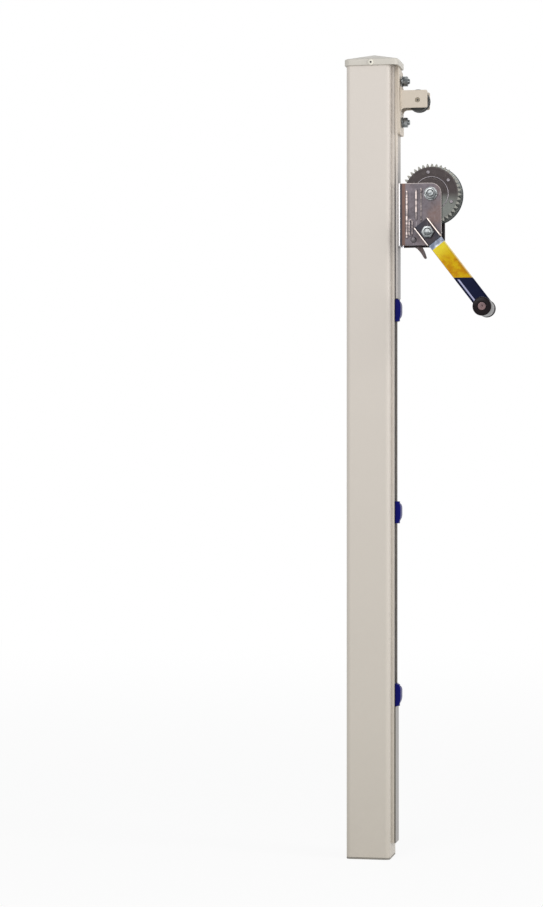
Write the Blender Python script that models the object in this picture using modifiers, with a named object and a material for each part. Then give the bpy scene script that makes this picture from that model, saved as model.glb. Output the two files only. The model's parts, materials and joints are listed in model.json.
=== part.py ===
"""A padel net post with its cable pulley, hand winch and sliding net hooks.

Units are metres. +Z is up, +X points to the net and -Y to the crank.
The origin is the middle of the base plug's lower face.
"""
import math

import bmesh
import bpy

# Clearances, and how far a cutter reaches past what it cuts
SEAT = 0.0003
HOLE_PLAY = 0.0005
OVERCUT = 0.002

# Post tube, base plug and top cap
TUBE_SIDE = 0.080
TUBE_WALL = 0.003
TUBE_CORNER = 0.008
TUBE_LENGTH = 1.447
PLUG_FLANGE = 0.003
PLUG_DEPTH = 0.035
PLUG_WALL = 0.004
CAP_WALL = 0.0032
CAP_SKIRT = 0.009
CAP_RIM = 0.002
CAP_RISE = 0.0125
CAP_TIP = 0.08
CAP_SCREW_DROP = 0.004
CAP_SCREW_RADIUS = 0.0024
CAP_SCREW_LENGTH = 0.016
CAP_SCREW_HEAD_RADIUS = 0.0052
CAP_SCREW_HEAD = 0.0022
CAP_SCREW_ROUNDING = 0.0016

# Hook rail on the net side, its slot cover and the mounting bar
RAIL_RISE = 0.0247
RAIL_DROP = 0.0063
RAIL_WIDTH = 0.040
RAIL_DEPTH = 0.0057
RAIL_WALL = 0.0015
RAIL_MOUTH = 0.022
RIVET_RADIUS = 0.0024
RIVET_HEAD_RADIUS = 0.0040
RIVET_TAIL_RADIUS = 0.0034
RIVET_TAIL = 0.0035
RIVET_COUNT = 4
RIVET_RISE = 0.080
RIVET_PITCH = 0.280
BAR_LENGTH = 0.425
BAR_INSET = 0.002
BAR_THICKNESS = 0.0057
COVER_LENGTH = 0.248
COVER_THICKNESS = 0.0020
COVER_RIB = 0.0012
COVER_RIB_DEPTH = 0.0030

# Net hooks
HOOK_HEIGHT = 0.040
HOOK_WIDTH = 0.030
HOOK_PAD = 0.0024
HOOK_SLOT = 0.0052
HOOK_LIP = 0.0024
HOOK_ROOT = 0.0045
HOOK_LIP_SHORT = 0.0022
HOOK_LIP_CHAMFER = 0.0012
HOOK_TOP_DEPTH = 0.0030
HOOK_TOP_LENGTH = 0.006
HOOK_END_DEPTH = 0.0065
HOOK_END_LENGTH = 0.013
TOP_HOOK_GAP = 0.0015
LOW_HOOK_GAP = 0.0007
MIDDLE_HOOK_RISE = 0.6015

# Pulley bracket
BRACKET_DROP = 0.066
BRACKET_HEIGHT = 0.122
BRACKET_WIDTH = 0.050
BRACKET_THICKNESS = 0.0047
BRACKET_CORNER = 0.006
BRACKET_CHAMFER = 0.0040
BRACKET_CHAMFER_LENGTH = 0.012
BRACKET_BOLT_PITCH = 0.075
CHEEK_HEIGHT = 0.032
CHEEK_THICKNESS = 0.004
CHEEK_SPACING = 0.032
CHEEK_MARGIN = 0.018
CHEEK_FILLET = 0.008
CHEEK_CORNER = 0.003
CHEEK_RISE = 0.003
PULLEY_RISE = 0.001
PULLEY_REACH = 0.0357
PULLEY_RADIUS = 0.020
PULLEY_WIDTH = 0.024
PULLEY_GROOVE = 0.006
PULLEY_RIM = 0.004
PULLEY_AXLE_RADIUS = 0.004
PULLEY_AXLE_HEAD = 0.002
PULLEY_AXLE_HEAD_RADIUS = 0.0065
BUSH_WALL = 0.0020
SPACER_RADIUS = 0.009

# Bolts that hold the bracket and the winch through the tube wall
BOLT_RADIUS = 0.005
BOLT_HEAD = 0.0064
BOLT_ACROSS = 0.017
BOLT_END = 0.0035
NUT_HEIGHT = 0.0084
WASHER_RADIUS = 0.010
WASHER_THICKNESS = 0.002
BACKING_THICKNESS = 0.003
BACKING_WIDTH = 0.040
BACKING_MARGIN = 0.016
BACKING_CORNER = 0.003

# Winch frame, a U of bent sheet
FRAME_SHEET = 0.003
FRAME_WIDTH = 0.056
FRAME_MARGIN = 0.0195
FRAME_FOOT = 0.022
FRAME_BEND = 0.005
FRAME_CORNER = 0.003
WINCH_BOLT_RISE = 0.030
WINCH_BOLT_PITCH = 0.058

# Gear drum
DRUM_DROP = 0.1705
DRUM_REACH = 0.061
GEAR_MODULE = 0.0026
GEAR_TEETH = 40
PINION_TEETH = 15
PRESSURE_ANGLE = math.radians(25)
BACKLASH = 0.0004
GEAR_GAP = 0.002
GEAR_THICKNESS = 0.005
DRUM_CORE_RADIUS = 0.020
DRUM_FLANGE_MARGIN = 0.002
DRUM_FLANGE = 0.0025
DRUM_FAR_GAP = 0.0042
DRUM_AXLE_RADIUS = 0.006
AXLE_HEAD = 0.0075
AXLE_ACROSS = 0.019
AXLE_WASHER_RADIUS = 0.0122
AXLE_NUT = 0.0075
THREAD_STAND = 0.0018
GEAR_RIVET_CIRCLE = 0.014
GEAR_RIVET_RADIUS = 0.0024
GEAR_RIVET_HEAD_RADIUS = 0.0040
GEAR_RIVET_HEAD = 0.0011
GEAR_RIVET_DEPTH = 0.010
GEAR_RIVET_COUNT = 2

# Crank shaft with its pinion and ratchet wheel
CRANK_OFFSET = 0.0023
SHAFT_RADIUS = 0.007
STUD_RADIUS = 0.006
COLLAR_RADIUS = 0.010
CRANK_BUSH_FLANGE = 0.0017
CRANK_BUSH_FLANGE_RADIUS = 0.011
HUB_RADIUS = 0.0095
RATCHET_TEETH = 12
RATCHET_TIP = 0.0170
RATCHET_ROOT = 0.0137
RATCHET_LAND = 0.15
RATCHET_GAP = 0.004
RATCHET_THICKNESS = 0.005
RATCHET_PHASE = math.radians(144)
CLIP_RADIUS = 0.0105
CLIP_THICKNESS = 0.0014

# Pawl, its pivot and its spring
PAWL_ACROSS = 0.029
PAWL_DROP = 0.012
PAWL_TRAVEL = math.radians(8)
NOSE_GAP = 0.0007
PAWL_PIN_RADIUS = 0.0032
PAWL_PIN_HEAD_RADIUS = 0.0055
PAWL_PIN_HEAD = 0.0015
SPRING_WIRE_RADIUS = 0.0005
SPRING_TURNS = 4.25
SPRING_POINTS = 8
SPRING_LEG = 0.007

# Crank
CRANK_ANGLE = math.radians(-52.5)
CRANK_LENGTH = 0.176
ARM_CLEARANCE = 0.004
ARM_WIDTH = 0.028
ARM_THICKNESS = 0.005
ARM_RIM = 0.0016
ARM_RECESS = 0.0010
ARM_RECESS_START = 0.024
SADDLE_LENGTH = 0.042
SADDLE_WIDTH = 0.031
SADDLE_SHEET = 0.002
SADDLE_FLANGE = 0.008
SADDLE_CORNER = 0.003
CRANK_NUT = 0.007
CRANK_NUT_ACROSS = 0.020
GRIP_LENGTH = 0.088
GRIP_RADIUS = 0.0168
GRIP_WAIST = 0.0152
GRIP_COLLAR = 0.0088
GRIP_EDGE = 0.0022
GRIP_PIN_RADIUS = 0.004
GRIP_PIN_HEAD_RADIUS = 0.0073
GRIP_PIN_HEAD = 0.003
GRIP_PIN_TAIL = 0.0016
GRIP_PIN_TAIL_RADIUS = 0.0065
GRIP_WASHER_RADIUS = 0.011
GRIP_WASHER = 0.0015

# Heights that follow from the sizes above
TUBE_BOTTOM = PLUG_FLANGE + SEAT
TUBE_TOP = TUBE_BOTTOM + TUBE_LENGTH
RAIL_BOTTOM = TUBE_BOTTOM + RAIL_RISE
RAIL_TOP = TUBE_TOP - RAIL_DROP
BAR_BOTTOM = RAIL_TOP - BAR_LENGTH
COVER_TOP = RAIL_BOTTOM + COVER_LENGTH
HOOK_CENTRES = (BAR_BOTTOM - TOP_HOOK_GAP - HOOK_HEIGHT / 2,
                RAIL_BOTTOM + MIDDLE_HOOK_RISE,
                COVER_TOP + LOW_HOOK_GAP + HOOK_HEIGHT / 2)
BRACKET_CENTRE = RAIL_TOP - BRACKET_DROP
PULLEY_Z = BRACKET_CENTRE + PULLEY_RISE
DRUM_Z = BRACKET_CENTRE - DRUM_DROP
CENTRE_DISTANCE = GEAR_MODULE * (GEAR_TEETH + PINION_TEETH) / 2
CRANK_Z = DRUM_Z - math.sqrt(CENTRE_DISTANCE ** 2 - CRANK_OFFSET ** 2)
PAWL_Z = CRANK_Z - PAWL_DROP
FRAME_BOTTOM = CRANK_Z - FRAME_FOOT
FRAME_TOP = DRUM_Z + FRAME_MARGIN

# Places outward from the post's axis, along X
TUBE_FACE = TUBE_SIDE / 2
TUBE_INSIDE = TUBE_FACE - TUBE_WALL
BACKING_FACE = TUBE_INSIDE - SEAT
RAIL_BACK = TUBE_FACE + SEAT
RAIL_FACE = RAIL_BACK + RAIL_DEPTH
BAR_FACE = RAIL_FACE + SEAT + BAR_THICKNESS
MOUNT_FACE = BAR_FACE + SEAT
CAP_MIDDLE = (MOUNT_FACE - RAIL_BACK) / 2
PULLEY_X = MOUNT_FACE + PULLEY_REACH
CHEEK_END = PULLEY_X + CHEEK_MARGIN
DRUM_X = MOUNT_FACE + DRUM_REACH
CRANK_X = DRUM_X - CRANK_OFFSET
PAWL_X = CRANK_X - PAWL_ACROSS
FRAME_REACH = DRUM_X + FRAME_MARGIN
GRIP_X = CRANK_X + CRANK_LENGTH * math.cos(CRANK_ANGLE)
GRIP_Z = CRANK_Z + CRANK_LENGTH * math.sin(CRANK_ANGLE)
MESH_ANGLE = math.atan2(CRANK_Z - DRUM_Z, CRANK_X - DRUM_X)

# Places along the winch's axles, along Y
FRAME_OUTSIDE = FRAME_WIDTH / 2
FRAME_INSIDE = FRAME_OUTSIDE - FRAME_SHEET
GEAR_FACE = GEAR_GAP - FRAME_INSIDE
GEAR_BACK = GEAR_FACE + GEAR_THICKNESS
SPOOL_START = GEAR_BACK + SEAT
DRUM_END = FRAME_INSIDE - DRUM_FAR_GAP
SPOOL_END = DRUM_END - DRUM_FLANGE
RATCHET_FACE = GEAR_BACK + RATCHET_GAP
RATCHET_BACK = RATCHET_FACE + RATCHET_THICKNESS
ARM_FACE = -TUBE_FACE - ARM_CLEARANCE
ARM_FRONT = ARM_FACE - ARM_THICKNESS

CIRCLE_POINTS = 24
TURN_STEPS = 24
SMALL_STEPS = 12
DRUM_STEPS = 40
SHARP_ANGLE = math.radians(32)
WELD_DISTANCE = 0.000005

PAINT = ("painted_steel", (0.70, 0.64, 0.57), 0.35, 0.0)
ZINC = ("zinc_plated_steel", (0.48, 0.46, 0.49), 0.34, 0.9)
DARK_ZINC = ("dark_zinc_steel", (0.26, 0.25, 0.27), 0.40, 0.9)
BOLT_ZINC = ("bolt_zinc", (0.40, 0.42, 0.42), 0.35, 0.9)
HOOK_BLUE = ("blue_plastic", (0.012, 0.010, 0.19), 0.35, 0.0)
BLACK_RUBBER = ("black_rubber", (0.012, 0.010, 0.011), 0.6, 0.0)
ARM_YELLOW = ("yellow_paint", (0.66, 0.42, 0.02), 0.4, 0.0)
PLUG_BLACK = ("black_plastic", (0.02, 0.02, 0.02), 0.5, 0.0)
PULLEY_GREY = ("pulley_nylon", (0.05, 0.05, 0.05), 0.45, 0.0)
BRONZE = ("bush_bronze", (0.45, 0.28, 0.12), 0.35, 1.0)


def clear_scene():
    for thing in list(bpy.data.objects):
        bpy.data.objects.remove(thing)


def new_collection(name):
    made = bpy.data.collections.new(name)
    bpy.context.scene.collection.children.link(made)
    return made


def paint(thing, finish):
    """Give the object its own Principled material."""
    name, colour, roughness, metallic = finish
    made = bpy.data.materials.new(thing.name + "_" + name)
    made.use_nodes = True
    shader = made.node_tree.nodes["Principled BSDF"]
    shader.inputs["Base Color"].default_value = (*colour, 1)
    shader.inputs["Roughness"].default_value = roughness
    shader.inputs["Metallic"].default_value = metallic
    thing.data.materials.append(made)


def place(name, mesh, finish):
    """Link a mesh as a named piece, or as a cutter where finish is None."""
    thing = bpy.data.objects.new(name, mesh)
    if finish is None:
        CUTTERS.objects.link(thing)
        thing.hide_render = True
        thing.display_type = "WIRE"
    else:
        PARTS.objects.link(thing)
        paint(thing, finish)
    return thing


def on_circle(u, v, radius, angle):
    return (u + radius * math.cos(angle), v + radius * math.sin(angle))


def circle(u, v, radius, points=CIRCLE_POINTS):
    turn = 2 * math.pi / points
    return [on_circle(u, v, radius, i * turn) for i in range(points)]


def hexagon(u, v, across):
    return circle(u, v, across / math.sqrt(3), 6)


def arc(u, v, radius, start, end, points=5):
    """Points along an arc, with its angles in degrees."""
    step = math.radians(end - start) / (points - 1)
    first = math.radians(start)
    return [on_circle(u, v, radius, first + i * step) for i in range(points)]


def rounded_rectangle(u0, v0, u1, v1, radius, points=4):
    return (arc(u1 - radius, v1 - radius, radius, 0, 90, points)
            + arc(u0 + radius, v1 - radius, radius, 90, 180, points)
            + arc(u0 + radius, v0 + radius, radius, 180, 270, points)
            + arc(u1 - radius, v0 + radius, radius, 270, 360, points))


def turned_points(points, u, v, angle):
    """Points written along and across a turned line, as points of the plane."""
    along = math.cos(angle)
    across = math.sin(angle)
    return [(u + a * along - b * across, v + a * across + b * along) for a, b in points]


TURN_TO = {"X": (math.pi / 2, 0, math.pi / 2), "Y": (math.pi / 2, 0, 0), "Z": (0, 0, 0)}
LIFT = {"X": (1, 0, 0), "Y": (0, 1, 0), "Z": (0, 0, 1)}


def plate(name, finish, normal, start, end, outer, *holes):
    """A flat outline with holes, made thick from start to end along its normal.

    The outline is written as (y, z) for X, as (x, z) for Y and as (x, y) for Z.
    """
    curve = bpy.data.curves.new(name, "CURVE")
    curve.dimensions = "2D"
    curve.fill_mode = "BOTH"
    curve.extrude = (end - start) / 2
    for outline in (outer, *holes):
        spline = curve.splines.new("POLY")
        spline.points.add(len(outline) - 1)
        for point, (u, v) in zip(spline.points, outline):
            point.co = (u, v, 0, 1)
        spline.use_cyclic_u = True
    middle = (start + end) / 2
    return mesh_piece(name, finish, curve, TURN_TO[normal], [middle * part for part in LIFT[normal]])


def mesh_piece(name, finish, curve, rotation, location):
    """Turn a curve into a welded mesh piece that keeps the curve's place."""
    guide = bpy.data.objects.new(name + "_outline", curve)
    PARTS.objects.link(guide)
    guide.rotation_euler = rotation
    guide.location = location
    bpy.context.view_layer.update()
    evaluated = guide.evaluated_get(bpy.context.evaluated_depsgraph_get())
    mesh = bpy.data.meshes.new_from_object(evaluated)
    mesh.materials.clear()
    weld(mesh)
    made = place(name, mesh, finish)
    made.matrix_world = guide.matrix_world.copy()
    bpy.data.objects.remove(guide)
    return made


def weld(mesh):
    shape = bmesh.new()
    shape.from_mesh(mesh)
    bmesh.ops.remove_doubles(shape, verts=shape.verts, dist=WELD_DISTANCE)
    bmesh.ops.recalc_face_normals(shape, faces=shape.faces)
    shape.to_mesh(mesh)
    shape.free()


def turned(name, finish, axis, centre, profile, steps=TURN_STEPS):
    """A turned piece. The profile holds (radius, place along the axis).

    It runs down the outer side, from high to low, and then up the bore.
    """
    mesh = bpy.data.meshes.new(name)
    points = [(radius, 0, height) for radius, height in profile]
    edges = [(i, i + 1) for i in range(len(points) - 1)]
    if profile[0][0] > 0:
        edges.append((len(points) - 1, 0))
    mesh.from_pydata(points, edges, [])
    made = place(name, mesh, finish)
    if axis == "X":
        made.rotation_euler = (0, math.pi / 2, 0)
        made.location = (0, centre[0], centre[1])
    else:
        made.rotation_euler = (-math.pi / 2, 0, 0)
        made.location = (centre[0], 0, centre[1])
    screw = made.modifiers.new("turn", "SCREW")
    screw.axis = "Z"
    screw.angle = 2 * math.pi
    screw.steps = steps
    screw.render_steps = steps
    screw.use_merge_vertices = True
    screw.merge_threshold = 0.00001
    return made


def turned_forward(name, finish, centre, profile, steps=TURN_STEPS):
    """A piece turned about Y whose profile counts outward to the crank side."""
    made = turned(name, finish, "Y", centre, profile, steps)
    made.rotation_euler = (math.pi / 2, 0, 0)
    return made


def rod(name, finish, axis, centre, radius, start, end, steps=SMALL_STEPS):
    return turned(name, finish, axis, centre, [(0, end), (radius, end), (radius, start), (0, start)], steps)


def ring(name, finish, axis, centre, bore, radius, start, end, steps=TURN_STEPS):
    profile = [(radius, end), (radius, start), (bore, start), (bore, end)]
    return turned(name, finish, axis, centre, profile, steps)


def rounded_block(name, finish, side, corner, bottom, top):
    """An upright square block, centred on the post, with round corners."""
    outline = rounded_rectangle(-side / 2, -side / 2, side / 2, side / 2, corner)
    return plate(name, finish, "Z", bottom, top, outline)


def shape_with(thing, tool, operation):
    made = thing.modifiers.new(tool.name, "BOOLEAN")
    made.operation = operation
    made.solver = "EXACT"
    made.object = tool


def cut(thing, *tools):
    """Cut with all the tools in one step, so that no cut leaves slivers for the next."""
    group = new_collection(thing.name + "_cutters_%d" % len(thing.modifiers))
    for tool in tools:
        group.objects.link(tool)
    made = thing.modifiers.new(group.name, "BOOLEAN")
    made.operation = "DIFFERENCE"
    made.solver = "EXACT"
    made.operand_type = "COLLECTION"
    made.collection = group


def unite(thing, *tools):
    for tool in tools:
        shape_with(thing, tool, "UNION")


def keep_inside(thing, tool):
    shape_with(thing, tool, "INTERSECT")


def hang_on(name, place_of, *pieces):
    """Parent the pieces of one moving body to an empty on its joint."""
    bpy.context.view_layer.update()
    axis = bpy.data.objects.new(name, None)
    axis.location = place_of
    PARTS.objects.link(axis)
    bpy.context.view_layer.update()
    for piece in pieces:
        piece.parent = axis
        piece.matrix_parent_inverse = axis.matrix_world.inverted()


def shade_pieces():
    """Apply each piece's modifiers and smooth it up to its sharp edges."""
    bpy.context.view_layer.update()
    graph = bpy.context.evaluated_depsgraph_get()
    solids = [thing for thing in PARTS.objects if thing.type == "MESH"]
    meshes = [bpy.data.meshes.new_from_object(thing.evaluated_get(graph)) for thing in solids]
    for thing, mesh in zip(solids, meshes):
        thing.modifiers.clear()
        thing.data = mesh
        mesh.shade_smooth()
        mesh.set_sharp_from_angle(angle=SHARP_ANGLE)


def mount_heights():
    """Heights of the four bolts that pass through the tube wall, from the top."""
    half = BRACKET_BOLT_PITCH / 2
    winch = FRAME_BOTTOM + WINCH_BOLT_RISE
    return (BRACKET_CENTRE + half, BRACKET_CENTRE - half, winch + WINCH_BOLT_PITCH, winch)


def rivet_heights():
    return [RAIL_BOTTOM + RIVET_RISE + i * RIVET_PITCH for i in range(RIVET_COUNT)]


def bolt_hole_cutters():
    """One long cutter for each bolt, which clears tube, rail and bar alike."""
    radius = BOLT_RADIUS + HOLE_PLAY
    span = (TUBE_INSIDE - OVERCUT, BAR_FACE + OVERCUT)
    return [rod("bolt_hole_%d" % (i + 1), None, "X", (0, z), radius, *span)
            for i, z in enumerate(mount_heights())]


def rivet_hole_cutters():
    """Countersunk holes through the rail's back wall and the tube wall."""
    seat = RAIL_BACK + RAIL_WALL
    shank = RIVET_RADIUS + HOLE_PLAY
    mouth = RIVET_HEAD_RADIUS + HOLE_PLAY
    end = TUBE_INSIDE - OVERCUT
    profile = [(0, seat + SEAT), (mouth + SEAT, seat + SEAT), (shank, RAIL_BACK), (shank, end), (0, end)]
    return [turned("rivet_hole_%d" % (i + 1), None, "X", (0, z), profile, SMALL_STEPS)
            for i, z in enumerate(rivet_heights())]


def cap_screw_cutter(name):
    """One bore for both cap screws, right across the post."""
    height = TUBE_TOP - CAP_SCREW_DROP
    return rod(name, None, "Y", (CAP_MIDDLE, height), CAP_SCREW_RADIUS + HOLE_PLAY, -TUBE_SIDE, TUBE_SIDE)


def build_tube(bolt_holes, rivet_holes):
    outer = rounded_rectangle(-TUBE_FACE, -TUBE_FACE, TUBE_FACE, TUBE_FACE, TUBE_CORNER)
    inner_corner = TUBE_CORNER - TUBE_WALL
    inner = rounded_rectangle(-TUBE_INSIDE, -TUBE_INSIDE, TUBE_INSIDE, TUBE_INSIDE, inner_corner)
    tube = plate("post_tube", PAINT, "Z", TUBE_BOTTOM, TUBE_TOP, outer, inner)
    cut(tube, *bolt_holes, *rivet_holes, cap_screw_cutter("tube_screw_bore"))


def build_plug():
    """A flange under the tube's end with a hollow square spigot in its bore."""
    plug = rounded_block("base_plug", PLUG_BLACK, TUBE_SIDE, TUBE_CORNER, 0, PLUG_FLANGE)
    side = 2 * (TUBE_INSIDE - SEAT)
    corner = TUBE_CORNER - TUBE_WALL
    top = PLUG_FLANGE + PLUG_DEPTH
    spigot = rounded_block("plug_spigot", None, side, corner, PLUG_FLANGE / 2, top)
    bore = side - 2 * PLUG_WALL
    hollow = rounded_block("plug_hollow", None, bore, corner / 2, PLUG_FLANGE, top + OVERCUT)
    unite(plug, spigot)
    cut(plug, hollow)


def build_cap():
    """A skirt that slips over the tube, the rail and the bar, and a low pyramid above it."""
    under = TUBE_TOP + SEAT
    low = TUBE_TOP - CAP_SKIRT
    inside = TUBE_FACE + SEAT
    outside = inside + CAP_WALL
    corner = TUBE_CORNER + SEAT
    outer = rounded_rectangle(-outside, -outside, MOUNT_FACE + CAP_WALL, outside, corner + CAP_WALL)
    inner = rounded_rectangle(-inside, -inside, MOUNT_FACE, inside, corner)
    cap = plate("top_cap", PAINT, "Z", low, under + CAP_RIM, outer)
    raise_pyramid(cap, CAP_RISE)
    hollow = plate("cap_hollow", None, "Z", low - OVERCUT, under, inner)
    cut(cap, hollow, cap_screw_cutter("cap_screw_bore"))
    build_cap_screw("cap_screw_front", turned_forward)
    build_cap_screw("cap_screw_rear", turned_rearward)


def raise_pyramid(cap, rise):
    """Draw the cap's top face in to a small flat and lift it."""
    shape = bmesh.new()
    shape.from_mesh(cap.data)
    high = max(corner.co.z for corner in shape.verts)
    top = [face for face in shape.faces
           if all(high - corner.co.z < WELD_DISTANCE for corner in face.verts)]
    grown = bmesh.ops.extrude_face_region(shape, geom=top)
    for corner in grown["geom"]:
        if isinstance(corner, bmesh.types.BMVert):
            corner.co.x = CAP_MIDDLE + (corner.co.x - CAP_MIDDLE) * CAP_TIP
            corner.co.y *= CAP_TIP
            corner.co.z += rise
    bmesh.ops.delete(shape, geom=top, context="FACES_ONLY")
    bmesh.ops.recalc_face_normals(shape, faces=shape.faces)
    shape.to_mesh(cap.data)
    shape.free()


def turned_rearward(name, finish, centre, profile, steps=TURN_STEPS):
    return turned(name, finish, "Y", centre, profile, steps)


def build_cap_screw(name, turn_piece):
    """A button head screw through the skirt and the tube wall."""
    seat = TUBE_FACE + SEAT + CAP_WALL + SEAT
    tip = seat - CAP_SCREW_LENGTH
    dome = seat + CAP_SCREW_HEAD
    rim = CAP_SCREW_HEAD_RADIUS
    profile = [(0, dome), (rim - CAP_SCREW_ROUNDING, dome), (rim, dome - CAP_SCREW_ROUNDING),
               (rim, seat), (CAP_SCREW_RADIUS, seat), (CAP_SCREW_RADIUS, tip), (0, tip)]
    turn_piece(name, BOLT_ZINC, (CAP_MIDDLE, TUBE_TOP - CAP_SCREW_DROP), profile, SMALL_STEPS)


def build_rail(bolt_holes, rivet_holes):
    """A C section, open to the net side."""
    half = RAIL_WIDTH / 2
    mouth = RAIL_MOUTH / 2
    inner = half - RAIL_WALL
    floor = RAIL_BACK + RAIL_WALL
    lip = RAIL_FACE - RAIL_WALL
    outline = [(RAIL_BACK, -half), (RAIL_FACE, -half), (RAIL_FACE, -mouth), (lip, -mouth), (lip, -inner),
               (floor, -inner), (floor, inner), (lip, inner), (lip, mouth), (RAIL_FACE, mouth),
               (RAIL_FACE, half), (RAIL_BACK, half)]
    rail = plate("hook_rail", PAINT, "Z", RAIL_BOTTOM, RAIL_TOP, outline)
    cut(rail, *bolt_holes, *rivet_holes)


def build_rivets():
    """Flush rivets, so that the hooks' feet pass over them."""
    head = RAIL_BACK + RAIL_WALL - SEAT
    inside = TUBE_INSIDE - SEAT
    end = inside - RIVET_TAIL
    profile = [(0, head), (RIVET_HEAD_RADIUS, head), (RIVET_RADIUS, RAIL_BACK), (RIVET_RADIUS, inside),
               (RIVET_TAIL_RADIUS, inside), (RIVET_TAIL_RADIUS, end), (0, end)]
    for i, z in enumerate(rivet_heights()):
        turned("rail_rivet_%d" % (i + 1), BOLT_ZINC, "X", (0, z), profile, SMALL_STEPS)


def build_bar(bolt_holes):
    """The flat bar that closes the rail's mouth under the bracket and winch."""
    back = RAIL_FACE + SEAT
    half = RAIL_WIDTH / 2 - BAR_INSET
    outline = [(back, -half), (BAR_FACE, -half), (BAR_FACE, half), (back, half)]
    bar = plate("upper_mount_bar", PAINT, "Z", BAR_BOTTOM, RAIL_TOP, outline)
    cut(bar, *bolt_holes)


def build_cover():
    """A strip over the rail's mouth with two ribs that clip between the lips."""
    half = RAIL_WIDTH / 2
    back = RAIL_FACE + SEAT
    face = back + COVER_THICKNESS
    outside = RAIL_MOUTH / 2 - SEAT
    inside = outside - COVER_RIB
    tip = back - COVER_RIB_DEPTH
    outline = [(back, -half), (face, -half), (face, half), (back, half), (back, outside), (tip, outside),
               (tip, inside), (back, inside), (back, -inside), (tip, -inside), (tip, -outside),
               (back, -outside)]
    plate("lower_slot_cover", PAINT, "Z", RAIL_BOTTOM, COVER_TOP, outline)


def hook_section():
    """The hook from above: a T foot in the rail, a pad, and a slot open to the far side."""
    pad = RAIL_FACE + SEAT
    slot = pad + HOOK_PAD
    lip = slot + HOOK_SLOT
    face = lip + HOOK_LIP
    half = HOOK_WIDTH / 2
    root = HOOK_ROOT - half
    lip_end = half - HOOK_LIP_SHORT
    neck = RAIL_MOUTH / 2 - HOLE_PLAY
    foot = RAIL_WIDTH / 2 - RAIL_WALL - 2 * HOLE_PLAY
    floor = RAIL_BACK + RAIL_WALL + SEAT
    shoulder = RAIL_FACE - RAIL_WALL - SEAT
    return [(floor, -foot), (shoulder, -foot), (shoulder, -neck), (pad, -neck), (pad, -half), (face, -half),
            (face, lip_end - HOOK_LIP_CHAMFER), (face - HOOK_LIP_CHAMFER, lip_end), (lip, lip_end),
            (lip, root), (slot, root), (slot, half), (pad, half), (pad, neck),
            (shoulder, neck), (shoulder, foot), (floor, foot)]


def drawn_in_end(face, end, depth, length, points=4):
    """A quarter ellipse from the end of a face back along its length."""
    turns = [math.pi / 2 * i / (points - 1) for i in range(points)]
    return [(face - depth * (1 - math.sin(turn)), end + length * (1 - math.cos(turn))) for turn in turns]


def hook_side(centre):
    """The hook from the crank side, with its drawn in ends."""
    low = centre - HOOK_HEIGHT / 2
    high = centre + HOOK_HEIGHT / 2
    face = RAIL_FACE + SEAT + HOOK_PAD + HOOK_SLOT + HOOK_LIP
    lower = drawn_in_end(face, low, HOOK_END_DEPTH, HOOK_END_LENGTH)
    upper = drawn_in_end(face, high, HOOK_TOP_DEPTH, -HOOK_TOP_LENGTH)
    clear = face + OVERCUT
    bulge = [(clear, lower[-1][1]), (clear, upper[-1][1])]
    return [(RAIL_BACK, low)] + lower + bulge + upper[::-1] + [(RAIL_BACK, high)]


def build_hooks():
    for i, centre in enumerate(HOOK_CENTRES):
        name = "hook_%d" % (i + 1)
        half = HOOK_HEIGHT / 2 + OVERCUT
        hook = plate(name, HOOK_BLUE, "Z", centre - half, centre + half, hook_section())
        side = plate(name + "_side", None, "Y", -RAIL_WIDTH, RAIL_WIDTH, hook_side(centre))
        keep_inside(hook, side)
        hang_on(name + "_slide", (RAIL_FACE, 0, centre), hook)


def build_backing(name, low, high):
    margin = BACKING_MARGIN
    half = BACKING_WIDTH / 2
    outline = rounded_rectangle(-half, low - margin, half, high + margin, BACKING_CORNER, 3)
    radius = BOLT_RADIUS + HOLE_PLAY
    holes = [circle(0, z, radius, SMALL_STEPS) for z in (low, high)]
    plate(name, ZINC, "X", BACKING_FACE - BACKING_THICKNESS, BACKING_FACE, outline, *holes)


def build_bolt_set(tag, z, face):
    """A hex bolt from inside the tube, with its washer and nut on the outside."""
    head_face = BACKING_FACE - BACKING_THICKNESS - SEAT
    washer = face + SEAT
    washer_end = washer + WASHER_THICKNESS
    nut = washer_end + SEAT
    nut_end = nut + NUT_HEIGHT
    head = hexagon(0, z, BOLT_ACROSS)
    bolt = plate(tag + "_bolt", BOLT_ZINC, "X", head_face - BOLT_HEAD, head_face, head)
    shank_start = head_face - BOLT_HEAD / 2
    shank = rod(tag + "_shank", None, "X", (0, z), BOLT_RADIUS, shank_start, nut_end + BOLT_END)
    unite(bolt, shank)
    bore = BOLT_RADIUS + SEAT
    ring(tag + "_washer", BOLT_ZINC, "X", (0, z), bore, WASHER_RADIUS, washer, washer_end, SMALL_STEPS)
    plate(tag + "_nut", BOLT_ZINC, "X", nut, nut_end, head, circle(0, z, bore, SMALL_STEPS))


def build_fasteners():
    heights = mount_heights()
    build_backing("bracket_backing_plate", heights[1], heights[0])
    build_backing("winch_backing_plate", heights[3], heights[2])
    bracket_face = MOUNT_FACE + BRACKET_THICKNESS
    winch_face = MOUNT_FACE + FRAME_SHEET
    build_bolt_set("bracket_upper", heights[0], bracket_face)
    build_bolt_set("bracket_lower", heights[1], bracket_face)
    build_bolt_set("winch_upper", heights[2], winch_face)
    build_bolt_set("winch_lower", heights[3], winch_face)


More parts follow.
